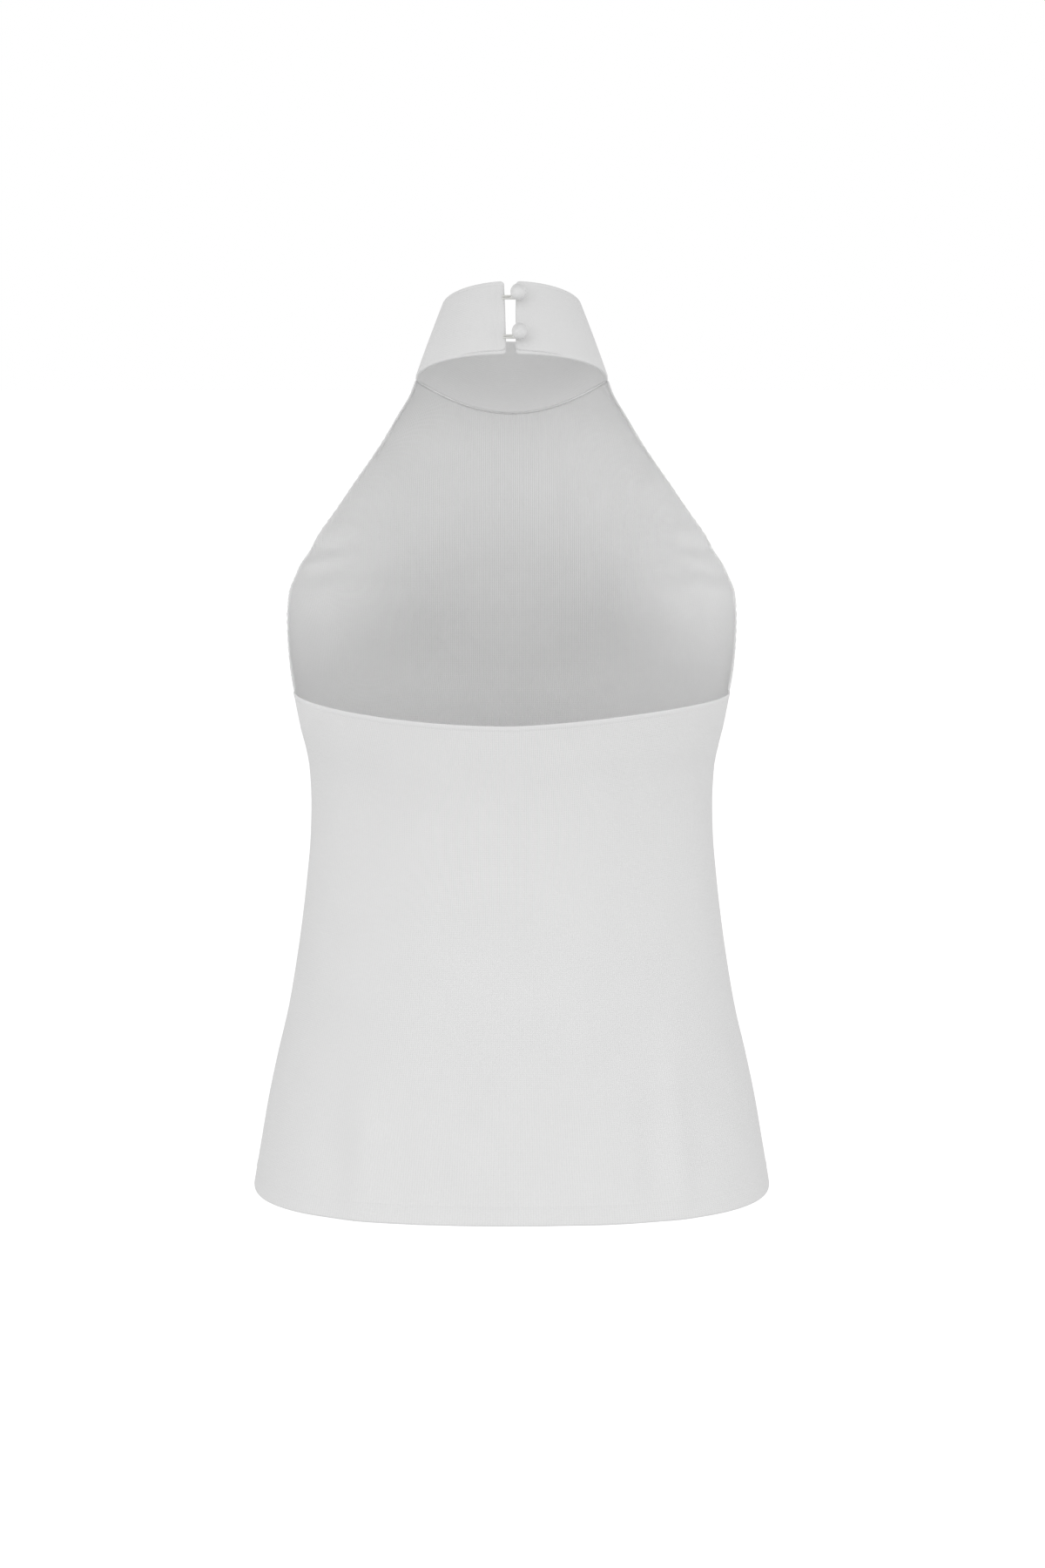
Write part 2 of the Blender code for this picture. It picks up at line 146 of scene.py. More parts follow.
YOKE = (
    Yoke(-0.1997, 0.1474, -0.0030, -0.2000, -0.1168, 2.50, 0.43),
    Yoke(-0.1857, 0.1496, -0.0090, -0.1866, -0.1165, 2.50, 0.47),
    Yoke(-0.1718, 0.1511, -0.0170, -0.1736, -0.1155, 2.45, 0.53),
    Yoke(-0.1579, 0.1519, -0.0260, -0.1607, -0.1132, 2.40, 0.60),
    Yoke(-0.1439, 0.1511, -0.0350, -0.1480, -0.1102, 2.35, 0.66),
    Yoke(-0.1298, 0.1456, -0.0420, -0.1352, -0.1063, 2.30, 0.72),
    Yoke(-0.1153, 0.1375, -0.0470, -0.1223, -0.1012, 2.25, 0.77),
    Yoke(-0.1007, 0.1283, -0.0490, -0.1093, -0.0955, 2.20, 0.80),
    Yoke(-0.0859, 0.1178, -0.0480, -0.0963, -0.0893, 2.15, 0.82),
    Yoke(-0.0710, 0.1076, -0.0450, -0.0833, -0.0830, 2.10, 0.81),
    Yoke(-0.0560, 0.0969, -0.0390, -0.0704, -0.0770, 2.05, 0.77),
    Yoke(-0.0411, 0.0866, -0.0310, -0.0576, -0.0715, 2.00, 0.70),
    Yoke(-0.0262, 0.0774, -0.0210, -0.0449, -0.0665, 2.00, 0.60),
    Yoke(-0.0085, 0.0667, -0.0070, -0.0302, -0.0617, 2.00, 0.53),
    Yoke(-0.0009, 0.0638, 0.0000, -0.0237, -0.0600, 2.00, 0.50),
)
NECK_BASE = Neck(0.0638, 0.0, 0.0580, 0.0600, 2.2, -0.0009, 0.0187, 0.0228)
NECK_TOP = Neck(0.0456, -0.0120, 0.0460, 0.0460, 1.95, 0.0487, 0.0158, 0.0246)

# The bust fullness of the cut, on a general figure: one soft swelling each side of the centre.
BUST_X, BUST_Z, BUST_DEPTH = 0.074, -0.188, 8.0 * MM
BUST_ACROSS, BUST_ABOVE, BUST_BELOW = 0.042, 0.050, 0.036

# Folds. The first ones of each panel are broad, as in the CAD, and the rest are finer.
FRONT_FOLDS = (
    Fold(0.130, -0.131, 0.034, 0.015, -60, 1.6 * MM),
    Fold(-0.131, -0.128, 0.032, 0.015, 57, 1.5 * MM),
    Fold(0.084, -0.312, 0.120, 0.052, -5, 2.2 * MM),
    Fold(-0.088, -0.302, 0.110, 0.050, 7, 2.0 * MM),
    Fold(0.128, -0.1250, 0.034, 0.011, -76, -1.1 * MM),
    Fold(0.126, -0.1145, 0.034, 0.010, -78, 1.2 * MM),
    Fold(0.120, -0.1055, 0.030, 0.010, -80, -0.9 * MM),
    Fold(-0.128, -0.1240, 0.034, 0.011, 74, -1.1 * MM),
    Fold(-0.125, -0.1135, 0.034, 0.010, 77, 1.2 * MM),
    Fold(-0.119, -0.1050, 0.030, 0.010, 80, -0.9 * MM),
    Fold(0.112, -0.505, 0.110, 0.022, -6, 1.6 * MM),
    Fold(0.038, -0.515, 0.080, 0.020, 4, 1.2 * MM),
    Fold(-0.052, -0.500, 0.100, 0.024, -3, 1.5 * MM),
    Fold(-0.118, -0.512, 0.090, 0.020, 7, 1.3 * MM),
    Fold(0.018, -0.440, 0.050, 0.014, 32, 0.9 * MM),
)
BACK_FOLDS = (
    Fold(0.090, -0.303, 0.120, 0.056, -4, 2.6 * MM),
    Fold(-0.092, -0.310, 0.130, 0.054, 5, 2.4 * MM),
    Fold(0.018, -0.449, 0.050, 0.010, -19, -1.9 * MM),
    Fold(0.025, -0.482, 0.022, 0.022, -15, 1.9 * MM),
    Fold(-0.040, -0.405, 0.170, 0.050, 8, -2.6 * MM),
    Fold(-0.109, -0.497, 0.110, 0.018, 4, -2.2 * MM),
    Fold(-0.092, -0.500, 0.100, 0.020, 3, 2.3 * MM),
    Fold(0.118, -0.500, 0.110, 0.026, -6, 2.6 * MM),
    Fold(0.097, -0.506, 0.090, 0.022, -6, -2.2 * MM),
    Fold(0.071, -0.509, 0.080, 0.022, -4, 1.3 * MM),
    Fold(0.046, -0.508, 0.080, 0.022, -3, 1.7 * MM),
    Fold(-0.036, -0.505, 0.090, 0.024, 2, 1.7 * MM),
    Fold(0.128, -0.232, 0.030, 0.010, -50, 0.7 * MM),
    Fold(-0.129, -0.230, 0.028, 0.010, 52, 0.7 * MM),
)


class Slot(Enum):
    """The record's material slots."""

    KNIT = "rib_knit"
    BALL = "ball_button"
    ELASTIC = "elastic_cord"


# ---- curves and surfaces


def lengths_along(line: Array) -> Array:
    """The distance from a line's start to each of its points, by their first three numbers."""
    steps = np.linalg.norm(np.diff(line[:, :3], axis=0), axis=1)
    return np.concatenate([[0.0], np.cumsum(steps)])


def smooth_rows(table: Array, places: Array) -> Array:
    """Rows of numbers along a smooth curve through a table's rows that never swings past them.

    Args:
        table: the rows that the curve goes through.
        places: distances along the table.

    Returns:
        One row for each place.
    """
    knots = lengths_along(table)
    steps = np.diff(table, axis=0) / np.diff(knots)[:, None]
    product = steps[:-1] * steps[1:]
    total = np.where(product > 0, steps[:-1] + steps[1:], 1.0)
    inner = np.where(product > 0, 2 * product / total, 0.0)
    slopes = np.concatenate([steps[:1], inner, steps[-1:]])
    span = np.clip(np.searchsorted(knots, places, "right") - 1, 0, len(knots) - 2)
    width = (knots[span + 1] - knots[span])[:, None]
    u = (places - knots[span])[:, None] / width
    return (
        (2 * u**3 - 3 * u**2 + 1) * table[span]
        + (u**3 - 2 * u**2 + u) * width * slopes[span]
        + (3 * u**2 - 2 * u**3) * table[span + 1]
        + (u**3 - u**2) * width * slopes[span + 1]
    )


def at_lengths(line: Array, places: Array) -> Array:
    """The points of a line at given distances from its start."""
    along = lengths_along(line)
    return np.stack([np.interp(places, along, axis) for axis in line.T], axis=-1)


def unit(vectors: Array) -> Array:
    """Vectors made one metre long."""
    return vectors / np.maximum(np.linalg.norm(vectors, axis=-1, keepdims=True), 1e-12)


def smooth_step(values: Array) -> Array:
    """0 below 0, 1 above 1, and a soft step between."""
    x = np.clip(values, 0.0, 1.0)
    return x * x * (3 - 2 * x)


def bell(values: Array, middle: Array | float, width: Array | float) -> Array:
    """A soft bump: 1 at its middle, and a third of that at its width from there."""
    return np.exp(-(((values - middle) / width) ** 2))


def roundness(distance: Array, radius: float) -> Array:
    """The share of a wall's thickness at a distance from its rounded edge."""
    near = np.clip(distance / radius, 0.0, 1.0)
    return np.sqrt(1 - (1 - near) ** 2)


def fold_depth(points: Array, folds: tuple[Fold, ...]) -> Array:
    """Adds up the folds over a surface.

    Args:
        points: the surface's points.
        folds: its folds.

    Returns:
        How far each point is pressed in.
    """
    depth = np.zeros(points.shape[:-1])
    for fold in folds:
        lean = math.radians(fold.lean)
        right, up = points[..., 0] - fold.x, points[..., 2] - fold.z
        lengthwise = right * math.sin(lean) + up * math.cos(lean)
        crosswise = right * math.cos(lean) - up * math.sin(lean)
        reach = (2 * lengthwise / fold.length) ** 2 + (2 * crosswise / fold.width) ** 2
        depth += fold.depth * np.exp(-reach)
    return depth


def turns_of(steps: int) -> Array:
    """Even angles once round a circle."""
    return np.arange(steps) * 2 * math.pi / steps


def grid_faces(rows: int, columns: int, closed: bool, first: int = 0) -> list[tuple[int, ...]]:
    """The faces of a grid of points.

    Args:
        rows: how many rows of points it has.
        columns: how many points a row has.
        closed: whether each row's end joins its start.
        first: the number of the grid's first point.

    Returns:
        The numbers of each face's points.
    """
    faces = []
    for r in range(rows - 1):
        low, high = first + r * columns, first + (r + 1) * columns
        for c in range(columns if closed else columns - 1):
            after = (c + 1) % columns
            faces.append((low + c, high + c, high + after, low + after))
    return faces


# ---- Blender helpers


class Nodes:
    """A node tree while it is written. A node's inputs are given by their sockets' names or
    numbers, each as a value or as the socket that feeds it."""

    def __init__(self, tree: bpy.types.NodeTree) -> None:
        """Keeps the tree."""
        self.tree = tree

    def feed(self, node: bpy.types.Node, inputs: dict) -> bpy.types.Node:
        """Sets a node's inputs.

        Args:
            node: the node.
            inputs: for each socket, its value or its feed.

        Returns:
            The same node.
        """
        for name, value in inputs.items():
            if isinstance(value, bpy.types.NodeSocket):
                self.tree.links.new(value, node.inputs[name])
            else:
                node.inputs[name].default_value = value
        return node

    def add(self, kind: str, inputs: dict | None = None, **settings: object) -> bpy.types.Node:
        """Adds a node.

        Args:
            kind: the node's type.
            inputs: its sockets' values or feeds.
            settings: its own properties.

        Returns:
            The new node.
        """
        node = self.tree.nodes.new(kind)
        for name, value in settings.items():
            setattr(node, name, value)
        return self.feed(node, inputs or {})

    def out(self, kind: str, inputs: dict | None = None, **settings: object) -> Socket:
        """Adds a node and returns its first output."""
        return self.add(kind, inputs, **settings).outputs[0]

    def calc(self, operation: str, *values: object) -> Socket:
        """The result of a Math node for one to three values or sockets."""
        return self.out("ShaderNodeMath", dict(enumerate(values)), operation=operation)

    def wave(self, operation: str, turns: Socket) -> Socket:
        """The sine or cosine of a number of full turns."""
        return self.calc(operation, self.calc("MULTIPLY", turns, 2 * math.pi))

    def noise(self, place: Socket, size: float, **shape: float) -> Socket:
        """Soft noise with patches of about a size."""
        return self.out("ShaderNodeTexNoise", {"Vector": place, "Scale": 1 / size, **shape})

    def blend(self, share: Socket, low: str, high: str) -> Socket:
        """A colour between two hex colours."""
        inputs = {0: share, 6: linear(low), 7: linear(high)}
        return self.add("ShaderNodeMix", inputs, data_type="RGBA").outputs[2]


def linear(hex_colour: str) -> tuple[float, float, float, float]:
    """Turns an sRGB colour into light.

    Args:
        hex_colour: the colour, as #RRGGBB.

    Returns:
        Its linear red, green, blue and alpha.
    """
    shares = [int(hex_colour[i : i + 2], 16) / 255 for i in (1, 3, 5)]
    tones = [c / 12.92 if c <= 0.04045 else ((c + 0.055) / 1.055) ** 2.4 for c in shares]
    return (*tones, 1.0)


def new_object(name: str, data: bpy.types.ID) -> Piece:
    """Adds an object at the origin, in the scene's collection.

    Args:
        name: the object's name.
        data: its mesh, light or camera.

    Returns:
        The new object.
    """
    piece = bpy.data.objects.new(name, data)
    bpy.context.scene.collection.objects.link(piece)
    return piece


def aim_object(piece: Piece, place: tuple, target: tuple) -> None:
    """Stands a camera or a lamp at a place, turned to its target."""
    piece.location = place
    piece.rotation_euler = (Vector(target) - piece.location).to_track_quat("-Z", "Y").to_euler()


def mesh_object(
    name: str,
    points: Array,
    faces: list,
    edges: list = (),
    material: Material | None = None,
) -> Piece:
    """A smooth mesh object.

    Args:
        name: the object's name.
        points: an array of points, three numbers each.
        faces: the numbers of each face's points.
        edges: the numbers of each loose edge's points.
        material: its material, unless a tree sets it.

    Returns:
        The new object.
    """
    mesh = bpy.data.meshes.new(name)
    mesh.from_pydata(points.reshape(-1, 3).tolist(), list(edges), faces)
    mesh.shade_smooth()
    if material:
        mesh.materials.append(material)
    return new_object(name, mesh)


def set_values(piece: Piece, name: str, values: Array, field: str = "value") -> None:
    """Keeps a named attribute for each point of a mesh.

    Args:
        piece: the mesh's object.
        name: the attribute's name.
        values: one number or one vector for each point.
        field: "value" for numbers and "vector" for vectors.
    """
    kind = "FLOAT" if field == "value" else "FLOAT_VECTOR"
    attribute = piece.data.attributes.new(name, kind, "POINT")
    attribute.data.foreach_set(field, np.asarray(values, np.float32).ravel())


def set_uvs(piece: Piece, values: Array) -> None:
    """Gives a mesh a UV map.

    Args:
        piece: the mesh's object.
        values: one pair of numbers for each point.
    """
    mesh = piece.data
    corners = np.empty(len(mesh.loops), np.int32)
    mesh.loops.foreach_get("vertex_index", corners)
    layer = mesh.uv_layers.new(name="cloth")
    layer.data.foreach_set("uv", values.reshape(-1, 2)[corners].astype(np.float32).ravel())


def new_tree(name: str, *numbers: str) -> tuple[Nodes, bpy.types.NodeOutputs]:
    """A Geometry Nodes tree.

    Args:
        name: the tree's name.
        numbers: the names of its inputs beside the geometry.

    Returns:
        The tree, and the sockets that give its inputs.
    """
    tree = bpy.data.node_groups.new(name, "GeometryNodeTree")
    new_socket = tree.interface.new_socket
    new_socket("Geometry", in_out="INPUT", socket_type="NodeSocketGeometry")
    for label in numbers:
        new_socket(label, in_out="INPUT", socket_type="NodeSocketFloat")
    new_socket("Geometry", in_out="OUTPUT", socket_type="NodeSocketGeometry")
    return Nodes(tree), tree.nodes.new("NodeGroupInput").outputs


def end_tree(nodes: Nodes, shape: Socket, material: Material) -> bpy.types.NodeTree:
    """Ends a tree with real meshes in one material.

    Args:
        nodes: the tree.
        shape: the socket that gives its shape.
        material: what the shape is made of.

    Returns:
        The finished tree.
    """
    real = nodes.out("GeometryNodeRealizeInstances", {"Geometry": shape})
    dressed = nodes.out("GeometryNodeSetMaterial", {"Geometry": real, "Material": material})
    nodes.add("NodeGroupOutput", {"Geometry": dressed})
    return nodes.tree


def use_tree(piece: Piece, tree: bpy.types.NodeTree, values: dict[str, float]) -> None:
    """Puts a tree on a piece and sets its inputs by their sockets' identifiers.

    Args:
        piece: the piece.
        tree: the tree.
        values: for each named input, its value.
    """
    modifier = piece.modifiers.new(tree.name, "NODES")
    modifier.node_group = tree
    for item in tree.interface.items_tree:
        if item.in_out == "INPUT" and item.name in values:
            modifier[item.identifier] = values[item.name]


def settle(piece: Piece) -> Piece:
    """Turns a piece and its modifiers into a plain mesh.

    Args:
        piece: the piece.

    Returns:
        The same piece.
    """
    bpy.context.view_layer.update()
    graph = bpy.context.evaluated_depsgraph_get()
    mesh = bpy.data.meshes.new_from_object(piece.evaluated_get(graph))
    mesh.name = piece.name
    piece.modifiers.clear()
    piece.data = mesh
    return piece


def merge_close(piece: Piece, distance: float) -> None:
    """Joins a mesh's points that lie within a distance of each other."""
    piece.modifiers.new("merge", "WELD").merge_threshold = distance
    settle(piece)


def place_on_frame(piece: Piece, node: str | None) -> None:
    """Rides a finished piece on the top's one body, and hides the CAD node that it replaces.

    Args:
        piece: the finished piece.
        node: the CAD node that it replaces, if it does.
    """
    if node:
        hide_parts(node)
    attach(piece, "root")
    LOG.info("%s: %d faces", piece.name, len(piece.data.polygons))


# ---- finishes


@dataclass(frozen=True)
class Finish:
    """What all finishes share: a material whose shader's sockets get the finish's look."""

    name: ClassVar[str]

    def look(self, nodes: Nodes) -> dict[str, object]:
        """The value or the feed of each of the shader's sockets that the finish sets."""
        raise NotImplementedError

    def material(self) -> Material:
        """Builds the material.

        Returns:
            The new material.
        """
        made = bpy.data.materials.new(self.name)
        made.use_nodes = True
        nodes = Nodes(made.node_tree)
        nodes.feed(made.node_tree.nodes["Principled BSDF"], self.look(nodes))
        return made


@dataclass(frozen=True)
class RibKnit(Finish):
    """White fine rib knit in a matt viscose and nylon yarn, steamed flat: soft ribs with a fine
    stitch, a faint sheen, and painted shade that darkens the furrows between the ribs."""

    name: ClassVar[str] = "white_rib_knit"
    crest: str = "#DEDEDE"
    # the furrows' colour: painted shade, darker than the crests
    furrow: str = "#D7D7D7"
    roughness: float = 0.86
    sheen: float = 0.12
    sheen_roughness: float = 0.45
    specular: float = 0.25
    rib_height: float = 0.12 * MM
    course: float = 1.3 * MM  # height of a stitch; the real 0.9 mm would be too fine to show
    stitch_depth: float = 0.10 * MM
    stitch_strength: float = 0.35
    mottle: float = 28 * MM  # size of the faint patches where the cloth was handled
    fuzz: float = 0.7 * MM  # size of the fluff on the yarn
    fluff: float = 0.9  # its height by a stitch's

    def look(self, nodes: Nodes) -> dict[str, object]:
        """Its ribs follow the wale attribute, and its stitches the cloth UV map.

        Args:
            nodes: the material's tree.

        Returns:
            The shader's sockets, with their values and feeds.
        """
        wale, shown = (
            nodes.add("ShaderNodeAttribute", attribute_name=name).outputs["Fac"]
            for name in ("wale", "rib_fade")
        )
        place = nodes.add("ShaderNodeTexCoord").outputs
        height = nodes.add("ShaderNodeSeparateXYZ", {0: place["UV"]}).outputs[1]
        crest = nodes.calc("MULTIPLY_ADD", nodes.wave("COSINE", wale), 0.5, 0.5)
        patches = nodes.noise(place["Object"], self.mottle, Detail=3.0)
        # Painted shade: the colour darkens from the crests into the furrows between the ribs; the
        # patches vary it at random.
        share = nodes.calc("MULTIPLY_ADD", patches, 0.5, nodes.calc("MULTIPLY", crest, 0.5))
        rib = nodes.calc("MULTIPLY", crest, shown)
        round_rib = nodes.out("ShaderNodeBump", {"Height": rib, "Distance": self.rib_height})
        stitch = {
            "Height": self.yarn(nodes, wale, height, place["Object"]),
            "Distance": self.stitch_depth,
            "Strength": self.stitch_strength,
            "Normal": round_rib,
        }
        return {
            "Base Color": nodes.blend(share, self.furrow, self.crest),
            "Roughness": self.roughness,
            "Sheen Weight": self.sheen,
            "Sheen Roughness": self.sheen_roughness,
            "Specular IOR Level": self.specular,
            "Normal": nodes.out("ShaderNodeBump", stitch),
        }

    def yarn(self, nodes: Nodes, wale: Socket, height: Socket, place: Socket) -> Socket:
        """Draws knit stitches that point down each rib, and a little fluff.

        Args:
            nodes: the material's tree.
            wale: ribs counted from the centre.
            height: the place along a rib, in metres.
            place: object coordinates.

        Returns:
            The height of the yarn.
        """
        beside = nodes.calc("SUBTRACT", nodes.calc("FRACT", wale), 0.5)
        rows = nodes.calc("MULTIPLY_ADD", height, 1 / self.course, nodes.calc("ABSOLUTE", beside))
        fluff = nodes.noise(place, self.fuzz, Detail=2.0)
        return nodes.calc("MULTIPLY_ADD", fluff, self.fluff, nodes.wave("SINE", rows))


@dataclass(frozen=True)
class PearlResin(Finish):
    """Cast polyester resin with a pearl lustre, tumbled smooth: white, softly glossy, with a faint
    cloudiness under a clear skin."""

    name: ClassVar[str] = "pearl_white_resin"
    body: str = "#DCDCDC"
    cloud: str = "#CCCCCC"
    roughness: float = 0.3
    index: float = 1.54  # of refraction, for polyester resin
    skin: float = 0.6  # weight of the clear skin
    skin_roughness: float = 0.1
    cloud_size: float = 5 * MM

    def look(self, nodes: Nodes) -> dict[str, object]:
        """It is clouded on object coordinates.

        Args:
            nodes: the material's tree.

        Returns:
            The shader's sockets, with their values and feeds.
        """
        place = nodes.add("ShaderNodeTexCoord").outputs["Object"]
        clouds = nodes.noise(place, self.cloud_size, Detail=2.0, Distortion=1.5)
        return {
            "Base Color": nodes.blend(clouds, self.cloud, self.body),
            "Roughness": self.roughness,
            "IOR": self.index,
            "Coat Weight": self.skin,
            "Coat Roughness": self.skin_roughness,
        }


@dataclass(frozen=True)
class CoveredElastic(Finish):
    """Rubber cord covered with a wound white nylon thread: satin, with fine slanting wraps."""

    name: ClassVar[str] = "white_covered_elastic"
    thread: str = "#E6E6E3"
    # the gaps' colour: painted shade, darker than the thread
    gap: str = "#C4C4C0"
    wrap: float = 0.55 * MM  # rise of one wrap; the real 0.25 mm would be too fine to show
    wrap_depth: float = 0.08 * MM
    wrap_strength: float = 0.8
    roughness: float = 0.55
    sheen: float = 0.1

    def look(self, nodes: Nodes) -> dict[str, object]:
        """Its wraps follow the cord's UV map: U turns round the cord, and V is in metres.

        Args:
            nodes: the material's tree.

        Returns:
            The shader's sockets, with their values and feeds.
        """
        place = nodes.add("ShaderNodeTexCoord").outputs["UV"]
        cord = nodes.add("ShaderNodeSeparateXYZ", {0: place}).outputs
        winding = nodes.calc("MULTIPLY_ADD", cord[1], 1 / self.wrap, cord[0])
        # Painted shade: the colour darkens into the gaps between the wraps.
        share = nodes.calc("MULTIPLY_ADD", nodes.wave("SINE", winding), 0.5, 0.5)
        wraps = {"Height": share, "Distance": self.wrap_depth, "Strength": self.wrap_strength}
        return {
            "Base Color": nodes.blend(share, self.gap, self.thread),
            "Roughness": self.roughness,
            "Sheen Weight": self.sheen,
            "Normal": nodes.out("ShaderNodeBump", wraps),
        }


@dataclass(frozen=True)
class SewingThread(Finish):
    """Spun polyester sewing thread, white: matt, with the fine twist of two plies drawn in painted
    shade.
    """

    name: ClassVar[str] = "white_sewing_thread"
    light: str = "#E2E3E2"
    # the colour between the plies: painted shade, darker than the thread's own white
    twist_shade: str = "#CFD0CF"
    ply: float = 0.3 * MM
    roughness: float = 0.8

    def look(self, nodes: Nodes) -> dict[str, object]:
        """It is twisted on object coordinates.

        Args:
            nodes: the material's tree.

        Returns:
            The shader's sockets, with their values and feeds.
        """
        place = nodes.add("ShaderNodeTexCoord").outputs["Object"]
        twist = nodes.add(
            "ShaderNodeTexWave",
            {"Vector": place, "Scale": 1 / self.ply / (2 * math.pi), "Distortion": 1.0},
            bands_direction="DIAGONAL",
        ).outputs["Fac"]
        # Painted shade: darker diagonal bands stand in for the grooves between the plies.
        colour = nodes.blend(twist, self.twist_shade, self.light)
        return {"Base Color": colour, "Roughness": self.roughness}


@dataclass(frozen=True)
class PaperSweep(Finish):
    """Matt white background paper, lit evenly from all sides so that it burns out to white."""

    name: ClassVar[str] = "white_background_paper"
    paper: str = "#FAFAFA"
    roughness: float = 0.95
    glow: float = 0.35

    def look(self, nodes: Nodes) -> dict[str, object]:
        """It glows a little.

        Args:
            nodes: the material's tree.

        Returns:
            The shader's sockets, with their values.
        """
        return {
            "Base Color": linear(self.paper),
            "Roughness": self.roughness,
            "Emission Color": WHITE,
            "Emission Strength": self.glow,
        }


# ---- Geometry Nodes trees


def rib_tree(material: Material) -> bpy.types.NodeTree:
    """Raises ribs on a panel, with its folds and edges.

    A point moves along its normal by its relief attribute, and by a cosine of its wale attribute,
    which counts ribs from the panel's centre, where its rib_fade attribute lets the ribs show.

    Args:
        material: the knit.

    Returns:
        The tree.
    """
    nodes, given = new_tree("rib_relief", "Rib depth")
    wale, fade, relief = (
        nodes.add("GeometryNodeInputNamedAttribute", {"Name": name}).outputs["Attribute"]
        for name in ("wale", "rib_fade", "relief")
    )
    rib = nodes.calc("MULTIPLY", nodes.wave("COSINE", wale), fade)
    height = nodes.calc("MULTIPLY_ADD", rib, given["Rib depth"], relief)
    lift = {0: nodes.out("GeometryNodeInputNormal"), "Scale": height}
    offset = nodes.out("ShaderNodeVectorMath", lift, operation="SCALE")
    moved = {"Geometry": given["Geometry"], "Offset": offset}
    return end_tree(nodes, nodes.out("GeometryNodeSetPosition", moved), material)


def stitch_tree(material: Material) -> bpy.types.NodeTree:
    """Sets short stitches along a line of points that hold an outward attribute.

    Each stitch is a small oval, with its length along the line and its height outwards.

    Args:
        material: the thread.

    Returns:
        The tree.
    """
    nodes, given = new_tree("seam_stitches", "Spacing", "Length", "Width", "Height")
    line = nodes.out("GeometryNodeMeshToCurve", {"Mesh": given["Geometry"]})
    spaced = {"Curve": line, "Length": given["Spacing"]}
    name = {"Name": "outward"}
    outward = nodes.add("GeometryNodeInputNamedAttribute", name, data_type="FLOAT_VECTOR")
    axes = {
        "Primary Axis": outward.outputs["Attribute"],
        "Secondary Axis": nodes.out("GeometryNodeInputTangent"),
    }
    size = {0: given["Length"], 1: given["Width"], 2: given["Height"]}
    ball = {"Segments": 8, "Rings": 5, "Radius": 0.5}
    oval = {"Geometry": nodes.out("GeometryNodeMeshUVSphere", ball), "Shade Smooth": True}
    stitches = {
        "Points": nodes.out("GeometryNodeResampleCurve", spaced, mode="LENGTH"),
        "Instance": nodes.out("GeometryNodeSetShadeSmooth", oval),
        "Rotation": nodes.out(
            "FunctionNodeAxesToRotation", axes, primary_axis="Z", secondary_axis="X"
        ),
        "Scale": nodes.out("ShaderNodeCombineXYZ", size),
    }
    return end_tree(nodes, nodes.out("GeometryNodeInstanceOnPoints", stitches), material)


# ---- the knitted panels


class Surface(NamedTuple):
    """A panel's outer surface in rows from the hem up, each from -X to +X."""

    points: Array
    last: Array  # for each row, how many columns from the centre it reaches its edge
    across: Array  # each point's distance from the centre line, along its row
    beside: Array  # each point's distance from the panel's side edge
    above: Array  # each row's distance from the hem
    below_top: Array  # each row's distance from the panel's upper edge
    free_edge: Array  # for each row, 0 at a side seam and 1 at a free halter edge


